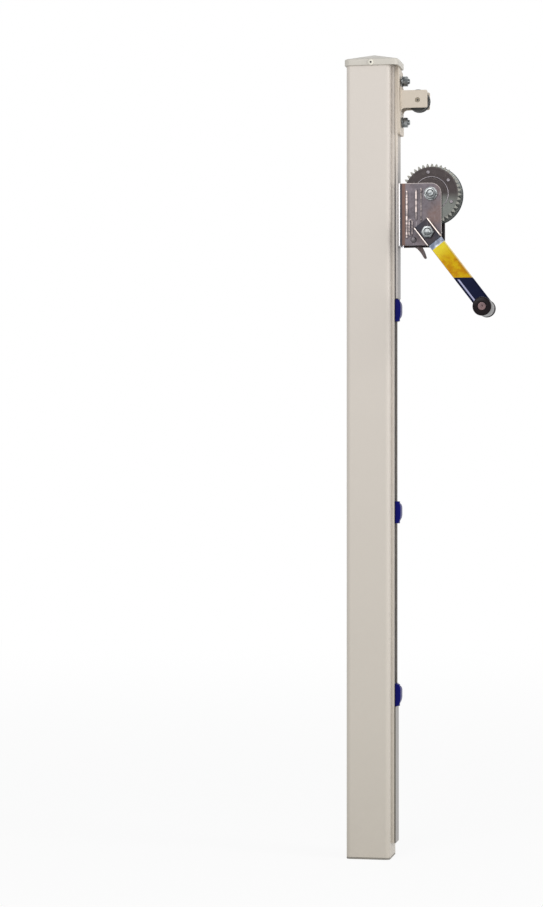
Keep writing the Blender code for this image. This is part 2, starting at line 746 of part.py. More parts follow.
def cheek_outline():
    """One cheek from the side, with fillets where it leaves the plate."""
    root = MOUNT_FACE + BRACKET_THICKNESS
    low = BRACKET_CENTRE + CHEEK_RISE - CHEEK_HEIGHT / 2
    high = low + CHEEK_HEIGHT
    fillet = CHEEK_FILLET
    back = root - BRACKET_THICKNESS / 2
    end = CHEEK_END - CHEEK_CORNER
    return ([(back, low - fillet)] + arc(root + fillet, low - fillet, fillet, 180, 90)
            + arc(end, low + CHEEK_CORNER, CHEEK_CORNER, -90, 0, 4)
            + arc(end, high - CHEEK_CORNER, CHEEK_CORNER, 0, 90, 4)
            + arc(root + fillet, high + fillet, fillet, 270, 180) + [(back, high + fillet)])


def build_bracket():
    """A bolted plate that carries two cheeks."""
    half = BRACKET_WIDTH / 2
    low = BRACKET_CENTRE - BRACKET_HEIGHT / 2
    high = BRACKET_CENTRE + BRACKET_HEIGHT / 2
    face = MOUNT_FACE + BRACKET_THICKNESS
    outline = rounded_rectangle(-half, low, half, high, BRACKET_CORNER)
    radius = BOLT_RADIUS + HOLE_PLAY
    holes = [circle(0, z, radius, SMALL_STEPS) for z in mount_heights()[:2]]
    bracket = plate("pulley_bracket", PAINT, "X", MOUNT_FACE, face, outline, *holes)
    axle_hole = circle(PULLEY_X, PULLEY_Z, PULLEY_AXLE_RADIUS + SEAT, SMALL_STEPS)
    inside = CHEEK_SPACING / 2
    outside = inside + CHEEK_THICKNESS
    near = plate("near_cheek", None, "Y", -outside, -inside, cheek_outline(), axle_hole)
    far = plate("far_cheek", None, "Y", inside, outside, cheek_outline(), axle_hole)
    slope = high - BRACKET_CHAMFER_LENGTH
    clear = face + OVERCUT
    drawn_in = face - BRACKET_CHAMFER
    wedge = [(clear, high + OVERCUT), (clear, slope), (face, slope), (drawn_in, high),
             (drawn_in, high + OVERCUT)]
    unite(bracket, near, far)
    cut(bracket, plate("bracket_chamfer", None, "Y", -BRACKET_WIDTH, BRACKET_WIDTH, wedge))


def build_pulley():
    """A grooved wheel on a bush, held off the cheeks by two spacers."""
    centre = (PULLEY_X, PULLEY_Z)
    half = PULLEY_WIDTH / 2
    rim = PULLEY_RADIUS
    floor = rim - PULLEY_GROOVE
    axle_bore = PULLEY_AXLE_RADIUS + SEAT
    bush_radius = axle_bore + BUSH_WALL
    bore = bush_radius + SEAT
    profile = [(rim, half), (rim, half - PULLEY_RIM), (floor, PULLEY_RIM / 2), (floor, -PULLEY_RIM / 2),
               (rim, PULLEY_RIM - half), (rim, -half), (bore, -half), (bore, half)]
    wheel = turned("pulley_wheel", PULLEY_GREY, "Y", centre, profile)
    bush = ring("pulley_bush", BRONZE, "Y", centre, axle_bore, bush_radius, -half, half, SMALL_STEPS)
    hang_on("pulley_spin", (PULLEY_X, 0, PULLEY_Z), wheel, bush)
    start = half + SEAT
    end = CHEEK_SPACING / 2 - SEAT
    ring("pulley_spacer_near", ZINC, "Y", centre, axle_bore, SPACER_RADIUS, -end, -start, SMALL_STEPS)
    ring("pulley_spacer_far", ZINC, "Y", centre, axle_bore, SPACER_RADIUS, start, end, SMALL_STEPS)
    build_pulley_axle(centre)


def build_pulley_axle(centre):
    """A pin through both cheeks, flush in front and headed behind."""
    outside = CHEEK_SPACING / 2 + CHEEK_THICKNESS
    head = outside + SEAT
    top = head + PULLEY_AXLE_HEAD
    profile = [(0, top), (PULLEY_AXLE_HEAD_RADIUS, top), (PULLEY_AXLE_HEAD_RADIUS, head),
               (PULLEY_AXLE_RADIUS, head), (PULLEY_AXLE_RADIUS, -outside), (0, -outside)]
    turned("pulley_axle", BOLT_ZINC, "Y", centre, profile, SMALL_STEPS)


def frame_section():
    """The U of sheet from above, with round bends and its ends left long."""
    middle = MOUNT_FACE + FRAME_BEND
    side = FRAME_OUTSIDE - FRAME_BEND
    inner_bend = FRAME_BEND - FRAME_SHEET
    end = FRAME_REACH + OVERCUT
    return ([(end, -FRAME_OUTSIDE), (end, -FRAME_INSIDE)]
            + arc(middle, -side, inner_bend, 270, 180, 4)
            + arc(middle, side, inner_bend, 180, 90, 4)
            + [(end, FRAME_INSIDE), (end, FRAME_OUTSIDE)]
            + arc(middle, side, FRAME_BEND, 90, 180)
            + arc(middle, -side, FRAME_BEND, 180, 270))


def frame_side():
    """The frame from the crank side, with one large round corner about the axle."""
    back = MOUNT_FACE - OVERCUT
    corner = FRAME_CORNER
    return ([(back, FRAME_BOTTOM)]
            + arc(FRAME_REACH - corner, FRAME_BOTTOM + corner, corner, -90, 0, 4)
            + arc(DRUM_X, DRUM_Z, FRAME_MARGIN, 0, 90, 9) + [(back, FRAME_TOP)])


def build_winch_frame():
    bottom = FRAME_BOTTOM - OVERCUT
    frame = plate("winch_frame", ZINC, "Z", bottom, FRAME_TOP + OVERCUT, frame_section())
    keep_inside(frame, plate("frame_side", None, "Y", -FRAME_WIDTH, FRAME_WIDTH, frame_side()))
    width = FRAME_OUTSIDE + OVERCUT
    bush_hole = SHAFT_RADIUS + SEAT + BUSH_WALL + SEAT
    axle = rod("drum_axle_hole", None, "Y", (DRUM_X, DRUM_Z), DRUM_AXLE_RADIUS + SEAT, -width, width)
    shaft = rod("crank_bush_hole", None, "Y", (CRANK_X, CRANK_Z), bush_hole, -width, width, TURN_STEPS)
    pawl = rod("pawl_pin_hole", None, "Y", (PAWL_X, PAWL_Z), PAWL_PIN_RADIUS + SEAT, -width, 0)
    cut(frame, axle, shaft, pawl)
    span = (MOUNT_FACE - OVERCUT, MOUNT_FACE + FRAME_SHEET + OVERCUT)
    for i, z in enumerate(mount_heights()[2:]):
        cut(frame, rod("winch_bolt_hole_%d" % (i + 1), None, "X", (0, z), BOLT_RADIUS + HOLE_PLAY, *span))


def involute(base, radius):
    """The turn of the involute curve between its base circle and a radius."""
    rolled = math.sqrt(max((radius / base) ** 2 - 1, 0))
    return rolled - math.atan(rolled)


def gear_outline(teeth, u, v, phase):
    """Involute teeth, with the middle of one tooth at the phase angle."""
    pitch = GEAR_MODULE * teeth / 2
    base = pitch * math.cos(PRESSURE_ANGLE)
    root = pitch - 1.25 * GEAR_MODULE
    tip = pitch + GEAR_MODULE
    half = math.pi / (2 * teeth) - BACKLASH / (4 * pitch)
    flank = [max(root, base), pitch, tip]
    side = [(radius, half + involute(base, pitch) - involute(base, radius)) for radius in flank]
    if root < base:
        side.insert(0, (root, side[0][1]))
    points = []
    for tooth in range(teeth):
        middle = phase + 2 * math.pi * tooth / teeth
        points += [on_circle(u, v, radius, middle - turn) for radius, turn in side]
        points += [on_circle(u, v, radius, middle + turn) for radius, turn in reversed(side)]
    return points


def build_drum():
    """The toothed flange, and the core with the far flange, on one sleeve."""
    centre = (DRUM_X, DRUM_Z)
    sleeve_bore = DRUM_AXLE_RADIUS + SEAT
    sleeve_radius = sleeve_bore + BUSH_WALL
    bore = sleeve_radius + SEAT
    rivets = circle(*centre, GEAR_RIVET_CIRCLE, GEAR_RIVET_COUNT)
    holes = [circle(x, z, GEAR_RIVET_RADIUS + SEAT, SMALL_STEPS) for x, z in rivets]
    holes.append(circle(*centre, bore))
    teeth = gear_outline(GEAR_TEETH, *centre, MESH_ANGLE)
    gear = plate("drum_gear", DARK_ZINC, "Y", GEAR_FACE, GEAR_BACK, teeth, *holes)
    flange = GEAR_MODULE * GEAR_TEETH / 2 + DRUM_FLANGE_MARGIN
    profile = [(flange, DRUM_END), (flange, SPOOL_END), (DRUM_CORE_RADIUS, SPOOL_END),
               (DRUM_CORE_RADIUS, SPOOL_START), (bore, SPOOL_START), (bore, DRUM_END)]
    drum = turned("winch_drum", ZINC, "Y", centre, profile, DRUM_STEPS)
    sleeve_end = FRAME_INSIDE - SEAT
    ring("drum_bush", BRONZE, "Y", centre, sleeve_bore, sleeve_radius, -sleeve_end, sleeve_end, SMALL_STEPS)
    pieces = [build_gear_rivet(i + 1, place_of, drum) for i, place_of in enumerate(rivets)]
    hang_on("drum_spin", (DRUM_X, 0, DRUM_Z), gear, drum, *pieces)


def build_gear_rivet(number, centre, drum):
    """A rivet from the gear's face into a blind hole in the drum's core."""
    deep = SPOOL_START + GEAR_RIVET_DEPTH
    start = SPOOL_START - OVERCUT
    cut(drum, rod("drum_rivet_hole_%d" % number, None, "Y", centre, GEAR_RIVET_RADIUS + SEAT, start, deep))
    tip = deep - SEAT
    head = GEAR_FACE - SEAT
    top = head - GEAR_RIVET_HEAD
    profile = [(0, tip), (GEAR_RIVET_RADIUS, tip), (GEAR_RIVET_RADIUS, head),
               (GEAR_RIVET_HEAD_RADIUS, head), (GEAR_RIVET_HEAD_RADIUS, top), (0, top)]
    return turned("gear_rivet_%d" % number, BOLT_ZINC, "Y", centre, profile, SMALL_STEPS)


def build_drum_axle():
    """A long bolt through both sides of the frame, with a washer and nut in front."""
    centre = (DRUM_X, DRUM_Z)
    head = FRAME_OUTSIDE + SEAT
    washer = -FRAME_OUTSIDE - SEAT
    washer_end = washer - WASHER_THICKNESS
    nut = washer_end - SEAT
    nut_end = nut - AXLE_NUT
    hexagon_outline = hexagon(*centre, AXLE_ACROSS)
    axle = plate("drum_axle", BOLT_ZINC, "Y", head, head + AXLE_HEAD, hexagon_outline)
    end = nut_end - THREAD_STAND
    unite(axle, rod("axle_shank", None, "Y", centre, DRUM_AXLE_RADIUS, end, head + AXLE_HEAD / 2))
    bore = DRUM_AXLE_RADIUS + SEAT
    ring("drum_axle_washer", BOLT_ZINC, "Y", centre, bore, AXLE_WASHER_RADIUS, washer_end, washer)
    plate("drum_axle_nut", BOLT_ZINC, "Y", nut_end, nut, hexagon_outline, circle(*centre, bore))


def ratchet_outline():
    """Saw teeth: a slope out to each tip, then a radial face back to the root."""
    turn = 2 * math.pi / RATCHET_TEETH
    shape = ((RATCHET_ROOT, 0), (RATCHET_TIP, 1 - RATCHET_LAND), (RATCHET_TIP, 1))
    points = []
    for tooth in range(RATCHET_TEETH):
        start = RATCHET_PHASE + tooth * turn
        points += [on_circle(CRANK_X, CRANK_Z, radius, start + part * turn) for radius, part in shape]
    return points


def build_shaft():
    """The crank shaft with the pieces that turn on it, and its two bushes."""
    centre = (CRANK_X, CRANK_Z)
    collar = -FRAME_OUTSIDE - SEAT - CRANK_BUSH_FLANGE - SEAT
    arm = ARM_FACE + SEAT
    stud_end = ARM_FRONT - SEAT - SADDLE_SHEET - SEAT - CRANK_NUT - THREAD_STAND
    clip = FRAME_OUTSIDE + SEAT + CRANK_BUSH_FLANGE + SEAT
    clip_end = clip + CLIP_THICKNESS
    far_end = clip_end + THREAD_STAND
    profile = [(0, far_end), (SHAFT_RADIUS, far_end), (SHAFT_RADIUS, collar), (COLLAR_RADIUS, collar),
               (COLLAR_RADIUS, arm), (STUD_RADIUS, arm), (STUD_RADIUS, stud_end), (0, stud_end)]
    shaft = turned("crank_shaft", BOLT_ZINC, "Y", centre, profile)
    bore = SHAFT_RADIUS + SEAT
    hole = circle(*centre, bore)
    teeth = gear_outline(PINION_TEETH, *centre, MESH_ANGLE + math.pi + math.pi / PINION_TEETH)
    pinion = plate("drive_pinion", DARK_ZINC, "Y", GEAR_FACE - SEAT, GEAR_BACK + SEAT, teeth, hole)
    hub_start = (GEAR_FACE + GEAR_BACK) / 2
    unite(pinion, ring("pinion_hub", None, "Y", centre, bore, HUB_RADIUS, hub_start, RATCHET_FACE - SEAT))
    ratchet = plate("ratchet_wheel", DARK_ZINC, "Y", RATCHET_FACE, RATCHET_BACK, ratchet_outline(), hole)
    spacer_end = FRAME_INSIDE - SEAT
    spacer = ring("shaft_spacer", ZINC, "Y", centre, bore, HUB_RADIUS, RATCHET_BACK + SEAT, spacer_end)
    shaft_clip = ring("shaft_clip", BOLT_ZINC, "Y", centre, bore, CLIP_RADIUS, clip, clip_end)
    build_crank_bush("crank_bush_near", turned_forward)
    build_crank_bush("crank_bush_far", turned_rearward)
    return [shaft, pinion, ratchet, spacer, shaft_clip]


def build_crank_bush(name, turn_piece):
    """A flanged bush in one side of the frame."""
    bore = SHAFT_RADIUS + SEAT
    sleeve = bore + BUSH_WALL
    face = FRAME_OUTSIDE + SEAT
    outer = face + CRANK_BUSH_FLANGE
    profile = [(CRANK_BUSH_FLANGE_RADIUS, outer), (CRANK_BUSH_FLANGE_RADIUS, face), (sleeve, face),
               (sleeve, FRAME_INSIDE), (bore, FRAME_INSIDE), (bore, outer)]
    turn_piece(name, BRONZE, (CRANK_X, CRANK_Z), profile)


def pawl_nose():
    """The nose where it meets a tooth, swung back by the travel, about the pivot."""
    reached = [on_circle(PAWL_ACROSS, PAWL_DROP, radius, RATCHET_PHASE + NOSE_GAP / radius)
               for radius in (RATCHET_ROOT + NOSE_GAP, RATCHET_TIP)]
    return turned_points(reached, 0, 0, PAWL_TRAVEL)


def pawl_outline():
    """The pawl around its pivot: nose up to the wheel, tail down out of the frame."""
    tail = [(-0.0075, -0.0010), (-0.0060, -0.0072), (-0.0005, -0.0105), (0.0060, -0.0152),
            (0.0120, -0.0225), (0.0180, -0.0330), (0.0205, -0.0340), (0.0222, -0.0318)]
    back = [(0.0190, -0.0215), (0.0140, -0.0120), (0.0095, -0.0050), (0.0072, 0.0010),
            (0.0074, 0.0090), (0.0089, 0.0164)]
    crown = [(0.0054, 0.0190), (-0.0025, 0.0115), (-0.0068, 0.0036)]
    return [(PAWL_X + a, PAWL_Z + b) for a, b in tail + back + pawl_nose() + crown]


def build_pawl():
    centre = (PAWL_X, PAWL_Z)
    hole = circle(*centre, PAWL_PIN_RADIUS + SEAT, SMALL_STEPS)
    pawl = plate("ratchet_pawl", ZINC, "Y", RATCHET_FACE, RATCHET_BACK, pawl_outline(), hole)
    inner = RATCHET_BACK + SEAT
    outer = -FRAME_OUTSIDE - SEAT
    inner_top = inner + PAWL_PIN_HEAD
    outer_top = outer - PAWL_PIN_HEAD
    profile = [(0, inner_top), (PAWL_PIN_HEAD_RADIUS, inner_top), (PAWL_PIN_HEAD_RADIUS, inner),
               (PAWL_PIN_RADIUS, inner), (PAWL_PIN_RADIUS, outer), (PAWL_PIN_HEAD_RADIUS, outer),
               (PAWL_PIN_HEAD_RADIUS, outer_top), (0, outer_top)]
    turned("pawl_pivot", BOLT_ZINC, "Y", centre, profile, SMALL_STEPS)
    build_pawl_spring()
    hang_on("pawl_turn", (PAWL_X, 0, PAWL_Z), pawl)


def spring_points():
    """A coil round the pivot with a straight leg at each end, along its tangent.

    The near leg runs back to the frame and the far leg up the pawl's face.
    """
    start = SPRING_WIRE_RADIUS + SEAT - FRAME_INSIDE
    end = RATCHET_FACE - SPRING_WIRE_RADIUS - SEAT
    radius = PAWL_PIN_RADIUS + SPRING_WIRE_RADIUS + 2 * SEAT
    count = round(SPRING_TURNS * SPRING_POINTS)
    points = []
    for i in range(count + 1):
        turn = 2 * math.pi * i / SPRING_POINTS - math.pi / 2
        x, z = on_circle(PAWL_X, PAWL_Z, radius, turn)
        points.append((x, start + (end - start) * i / count, z))
    near_leg = (PAWL_X - SPRING_LEG, start, PAWL_Z - radius)
    far_leg = (PAWL_X + radius, end, PAWL_Z + SPRING_LEG)
    return [near_leg] + points + [far_leg]


def build_pawl_spring():
    points = spring_points()
    curve = bpy.data.curves.new("pawl_spring", "CURVE")
    curve.dimensions = "3D"
    curve.fill_mode = "FULL"
    curve.bevel_depth = SPRING_WIRE_RADIUS
    curve.bevel_resolution = 1
    curve.use_fill_caps = True
    spline = curve.splines.new("POLY")
    spline.points.add(len(points) - 1)
    for point, (x, y, z) in zip(spline.points, points):
        point.co = (x, y, z, 1)
    mesh_piece("pawl_spring", BOLT_ZINC, curve, (0, 0, 0), (0, 0, 0))
    last = len(points) - 1 - SPRING_POINTS
    apart = min(math.dist(points[i], points[i + SPRING_POINTS]) for i in range(1, last))
    print("least gap between the spring's turns, in m:", round(apart - 2 * SPRING_WIRE_RADIUS, 5))


def along_arm(points):
    """Points written along and across the crank arm, from the crank shaft."""
    return turned_points(points, CRANK_X, CRANK_Z, CRANK_ANGLE)


def build_arm():
    """A flat arm with round ends and a low rim round its outer face."""
    half = ARM_WIDTH / 2
    stud_hole = along_arm(circle(0, 0, STUD_RADIUS + SEAT))
    pin_hole = along_arm(circle(CRANK_LENGTH, 0, GRIP_PIN_RADIUS + SEAT, SMALL_STEPS))
    ends = arc(CRANK_LENGTH, 0, half, -90, 90, 9) + arc(0, 0, half, 90, 270, 9)
    arm = plate("crank_arm", ARM_YELLOW, "Y", ARM_FRONT, ARM_FACE, along_arm(ends), stud_hole, pin_hole)
    inner = half - ARM_RIM
    pan = [(ARM_RECESS_START, inner), (ARM_RECESS_START, -inner)] + arc(CRANK_LENGTH, 0, inner, -90, 90, 9)
    floor = ARM_FRONT + ARM_RECESS
    cut(arm, plate("arm_recess", None, "Y", ARM_FRONT - OVERCUT, floor, along_arm(pan)))
    return arm


def build_saddle():
    """The U clamp over the arm's root, with its flanges standing outward."""
    back = ARM_FRONT - SEAT
    front = back - SADDLE_SHEET
    edge = front - SADDLE_FLANGE
    length = SADDLE_LENGTH / 2
    width = SADDLE_WIDTH / 2
    outline = along_arm(rounded_rectangle(-length, -width, length, width, SADDLE_CORNER, 3))
    hole = along_arm(circle(0, 0, STUD_RADIUS + SEAT))
    saddle = plate("crank_saddle", ZINC, "Y", edge, back, outline, hole)
    inner = width - SADDLE_SHEET
    clear = length + OVERCUT
    pan = [(-clear, -inner), (clear, -inner), (clear, inner), (-clear, inner)]
    cut(saddle, plate("saddle_hollow", None, "Y", edge - OVERCUT, front, along_arm(pan)))
    nut_face = front - SEAT
    nut_outline = hexagon(CRANK_X, CRANK_Z, CRANK_NUT_ACROSS)
    bore = circle(CRANK_X, CRANK_Z, STUD_RADIUS + SEAT)
    nut = plate("crank_nut", BOLT_ZINC, "Y", nut_face - CRANK_NUT, nut_face, nut_outline, bore)
    return [saddle, nut]


def build_grip():
    """The round grip, which turns on a pin riveted through the arm."""
    centre = (GRIP_X, GRIP_Z)
    washer_back = ARM_FRONT + ARM_RECESS - SEAT
    washer_front = washer_back - GRIP_WASHER
    start = washer_front - SEAT
    end = start - GRIP_LENGTH
    middle = (start + end) / 2
    bore = GRIP_PIN_RADIUS + SEAT
    counterbore = GRIP_PIN_HEAD_RADIUS + HOLE_PLAY
    floor = end + GRIP_PIN_HEAD
    profile = [(GRIP_WAIST - GRIP_EDGE, start), (GRIP_WAIST, start - GRIP_EDGE),
               (GRIP_WAIST, start - GRIP_COLLAR), (GRIP_RADIUS, middle), (GRIP_RADIUS, end + GRIP_EDGE),
               (GRIP_RADIUS - GRIP_EDGE, end), (counterbore, end), (counterbore, floor), (bore, floor),
               (bore, start)]
    grip = turned("crank_grip", BLACK_RUBBER, "Y", centre, profile)
    hang_on("grip_spin", (GRIP_X, 0, GRIP_Z), grip)
    washer = ring("grip_washer", ZINC, "Y", centre, bore, GRIP_WASHER_RADIUS, washer_front, washer_back)
    return [washer, build_grip_pin(centre, floor - SEAT)]


def build_grip_pin(centre, head):
    """A pin from its head in the grip's end to the riveted tail behind the arm."""
    head_top = head - GRIP_PIN_HEAD
    tail = ARM_FACE + SEAT
    tail_top = tail + GRIP_PIN_TAIL
    profile = [(0, tail_top), (GRIP_PIN_TAIL_RADIUS, tail_top), (GRIP_PIN_TAIL_RADIUS, tail),
               (GRIP_PIN_RADIUS, tail), (GRIP_PIN_RADIUS, head), (GRIP_PIN_HEAD_RADIUS, head),
               (GRIP_PIN_HEAD_RADIUS, head_top), (0, head_top)]
    return turned("grip_pin", BOLT_ZINC, "Y", centre, profile)


def build_post():
    bolt_holes = bolt_hole_cutters()
    rivet_holes = rivet_hole_cutters()
    build_tube(bolt_holes, rivet_holes)
    build_plug()
    build_cap()
    build_rail(bolt_holes, rivet_holes)
    build_rivets()
    build_bar(bolt_holes)
    build_cover()
    build_hooks()


def build_winch():
    build_winch_frame()
    build_drum()
    build_drum_axle()
    build_pawl()
    pieces = build_shaft() + [build_arm()] + build_saddle() + build_grip()
    hang_on("crank_spin", (CRANK_X, 0, CRANK_Z), *pieces)


clear_scene()
PARTS = new_collection("padel_net_post")
CUTTERS = new_collection("cutters")
build_post()
build_fasteners()
build_bracket()
build_pulley()
build_winch()
shade_pieces()
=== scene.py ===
"""The looks of a padel net post: smooth pieces, finishes, lamps and camera.

Units are metres. +Z is up, +X points to the net and -Y to the crank.
Each piece is a numpy surface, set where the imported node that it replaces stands.
"""
import json
import math

import bmesh
import bpy
import numpy as np
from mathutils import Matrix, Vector

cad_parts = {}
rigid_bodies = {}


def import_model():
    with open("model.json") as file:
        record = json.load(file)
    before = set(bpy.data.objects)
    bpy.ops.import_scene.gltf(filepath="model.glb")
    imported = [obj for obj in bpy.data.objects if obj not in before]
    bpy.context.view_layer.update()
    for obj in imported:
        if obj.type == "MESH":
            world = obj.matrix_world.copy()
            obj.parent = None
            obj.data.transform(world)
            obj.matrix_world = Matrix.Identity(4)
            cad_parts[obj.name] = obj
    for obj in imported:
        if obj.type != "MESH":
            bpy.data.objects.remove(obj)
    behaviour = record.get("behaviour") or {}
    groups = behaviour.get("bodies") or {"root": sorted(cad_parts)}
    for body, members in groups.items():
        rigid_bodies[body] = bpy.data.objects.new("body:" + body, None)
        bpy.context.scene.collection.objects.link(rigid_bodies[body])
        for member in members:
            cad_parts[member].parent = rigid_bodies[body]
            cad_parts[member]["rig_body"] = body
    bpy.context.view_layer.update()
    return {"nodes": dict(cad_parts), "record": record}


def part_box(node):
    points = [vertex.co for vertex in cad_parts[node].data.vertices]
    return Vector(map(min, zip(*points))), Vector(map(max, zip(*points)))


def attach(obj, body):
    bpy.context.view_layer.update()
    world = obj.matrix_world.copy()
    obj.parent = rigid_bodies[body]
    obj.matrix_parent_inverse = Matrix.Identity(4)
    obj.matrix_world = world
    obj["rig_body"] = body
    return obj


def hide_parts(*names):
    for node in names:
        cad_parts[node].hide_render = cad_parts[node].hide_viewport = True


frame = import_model()
NODES = frame["nodes"]
SLOT_OF = {part["node"]: part["material_slot"] for part in frame["record"]["subparts"]}

# Gaps: between pieces that touch, and where a seam must not show
SEAT = 0.0003
TIGHT = 0.00003

# Post, cap and plug
TUBE_HALF = 0.040
TUBE_WALL = 0.003
TUBE_CORNER = 0.008
CAP_WALL = 0.0032
CAP_RIM = 0.002

# Mounting plane and pulley
MOUNT_FACE = 0.0523
BRACKET_FACE = 0.0570
CHEEK_INSIDE = 0.016
CHEEK_OUTSIDE = 0.020

# Winch
FRAME_OUTSIDE = 0.028
FRAME_INSIDE = 0.025
FRAME_BEND = 0.005
FRAME_SHEET = 0.003
FRAME_MARGIN = 0.0195
MODULE = 0.0026
PRESSURE_ANGLE = math.radians(25)
BACKLASH = 0.0004
RATCHET_TEETH = 12
RATCHET_TIP = 0.0170
RATCHET_ROOT = 0.0137
RATCHET_LAND = 0.15
RATCHET_PHASE = math.radians(144)
GLEAM_TURN = math.radians(-50)

# Crank arm
CRANK_ANGLE = math.radians(-52.5)
ARM_RUN, ARM_RISE = math.cos(CRANK_ANGLE), math.sin(CRANK_ANGLE)
CRANK_LENGTH = 0.176
ARM_HALF = 0.014
ARM_FACE = -0.044
ARM_FRONT = -0.049
ARM_RIM = 0.0016
ARM_RECESS = 0.0010

# Meshes and shaders
SHARP = math.radians(38)
ROUND_STEPS = 72
SAME_PLACE = 0.0000002
METAL = {"Metallic": 1.0}
WHITE = (1, 1, 1, 1)


def middle_of(node):
    """The middle of a node's box, seen along Y."""
    low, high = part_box(node)
    return (low.x + high.x) / 2, (low.z + high.z) / 2


PULLEY = middle_of("pulley_bush")
DRUM = middle_of("drum_bush")
CRANK = middle_of("shaft_spacer")
PAWL = middle_of("pawl_pivot")
GRIP = middle_of("grip_washer")
CHEEK_MIDDLE = PULLEY[1] + 0.002
MESH_ANGLE = math.atan2(CRANK[1] - DRUM[1], CRANK[0] - DRUM[0])


# Surfaces

def put(name, data):
    """A new object in the scene."""
    thing = bpy.data.objects.new(name, data)
    bpy.context.scene.collection.objects.link(thing)
    return thing


def join(*axes):
    """Points from their coordinates, each an array or one number."""
    return np.stack(np.broadcast_arrays(*axes), -1)


def shell(name, rings, wrap=False, caps=False, sheet=False):
    """A mesh of quads between rings of points, each ring joined to the next.

    With wrap the last ring joins the first, and with caps both end rings are filled.
    The rings of a sheet are rows that stay open.
    """
    count, around = rings.shape[:2]
    index = np.arange(count * around).reshape(count, around)
    if not sheet:
        index = np.hstack([index, index[:, :1]])
    if wrap:
        index = np.vstack([index, index[:1]])
    quads = np.stack([index[:-1, :-1], index[:-1, 1:], index[1:, 1:], index[1:, :-1]], -1)
    faces = quads.reshape(-1, 4).tolist()
    if caps:
        faces += [list(range(around)), list(range((count - 1) * around, count * around))]
    mesh = bpy.data.meshes.new(name)
    mesh.from_pydata(rings.reshape(-1, 3).tolist(), [], faces)
    close(mesh)
    return mesh


def close(mesh):
    """Merge what meets at poles and seams, and turn every face outward."""
    shape = bmesh.new()
    shape.from_mesh(mesh)
    bmesh.ops.remove_doubles(shape, verts=shape.verts, dist=0.000001)
    bmesh.ops.dissolve_degenerate(shape, dist=0.0000005, edges=shape.edges)
    bmesh.ops.recalc_face_normals(shape, faces=shape.faces)
    shape.to_mesh(mesh)
    shape.free()


def fit(mesh, node=None, finish=None, like=None):
    """Show a mesh as a piece that stands for its node, on its body and in its slot.

    A piece that stands for no node rides like one.
    """
    lead = node or like
    piece = put(mesh.name, mesh)
    mesh.materials.clear()
    mesh.materials.append((finish or FINISHES[SLOT_OF[lead]]).material)
    mesh.shade_smooth()
    mesh.set_sharp_from_angle(angle=SHARP)
    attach(piece, NODES[lead]["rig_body"])
    if node:
        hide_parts(node)


def sides(points):
    """Unit ways from each corner of a closed line back and ahead, and the shorter length."""
    ways = [np.roll(points, shift, 0) - points for shift in (1, -1)]
    lengths = [np.maximum(np.linalg.norm(way, axis=1, keepdims=True), 0.000001) for way in ways]
    return [way / length for way, length in zip(ways, lengths)], np.minimum(*lengths)


def parabolas(points, ways, reach, steps):
    """Bends of (1 - t)^2 x start + 2t (1 - t) x corner + t^2 x end, a reach from each corner."""
    start, end = (points + way * reach for way in ways)
    t = np.linspace(0, 1, steps + 1)[None, :, None]
    return (1 - t) ** 2 * start[:, None] + 2 * t * (1 - t) * points[:, None] + t ** 2 * end[:, None]


def rounded(points, radius, steps=3):
    """A closed line with its corners drawn as parabolas, a guard point outside each end.

    Corners keep within 0.42 of the shorter side beside them, and guards within 0.48.
    """
    points = np.asarray(points, float)
    ways, shorter = sides(points)
    radius = np.broadcast_to(np.asarray(radius, float), len(points))[:, None]
    reach = np.minimum(radius, 0.42 * shorter)
    outer = np.minimum(reach + 0.00008, 0.48 * shorter)
    first, last = ((points + way * outer)[:, None] for way in ways)
    line = np.concatenate([first, parabolas(points, ways, reach, steps), last], 1).reshape(-1, 2)
    apart = np.linalg.norm(np.roll(line, -1, 0) - line, axis=1)
    return line[apart > SAME_PLACE]


def corner_arcs(points, radius):
    """Round corners with the same count of points at every ring."""
    ways, shorter = sides(points)
    reach = np.minimum(np.asarray(radius)[:, None], 0.45 * shorter)
    return parabolas(points, ways, reach, 4).reshape(-1, 2)


def rounded_profile(points, radius, steps=3):
    """The profile of a turned piece with round corners, its ends on the axis kept."""
    points = np.asarray(points, float)
    radius = np.broadcast_to(np.asarray(radius, float), len(points)).copy()
    radius[[0, -1]] = 0
    line = rounded(points, radius, steps)
    return np.vstack([points[:1], line[line[:, 0] > SAME_PLACE], points[-1:]])


def mirrored(points):
    """A line of (u, v), then the same line back with v turned over."""
    return points + [(u, -v) for u, v in points[::-1]]


def quarter(count):
    """Angles from 0 to a quarter turn."""
    return np.linspace(0, math.pi / 2, count)


def full_turn(steps=ROUND_STEPS):
    return np.linspace(0, 2 * math.pi, steps, endpoint=False)


def on_axis(axis, centre, radius, angle, place):
    """Rings of points at a radius and angle round an axis, at a place along it."""
    u = centre[0] + radius * np.cos(angle)
    v = centre[1] + radius * np.sin(angle)
    return join(place, u, v) if axis == "X" else join(u, place, v)


def turned(name, centre, profile, axis="Y", outline=None, steps=ROUND_STEPS):
    """A profile of (radius, place) swept round an axis.

    With an outline, radius = outline(angle) x share + radius, share being a third column.
    """
    profile = np.asarray(profile, float)
    share = profile[:, 2:3] if profile.shape[1] > 2 else np.zeros((len(profile), 1))
    angle, reach = outline if outline else (full_turn(steps), np.zeros(steps))
    radius = profile[:, :1] + share * reach[None, :]
    rings = on_axis(axis, centre, radius, angle[None, :], profile[:, 1:2])
    return shell(name, rings, wrap=radius[0].max() > SAME_PLACE)


def ring_profile(bore, radius, start, end, edge):
    return rounded([(radius, end), (radius, start), (bore, start), (bore, end)], edge)


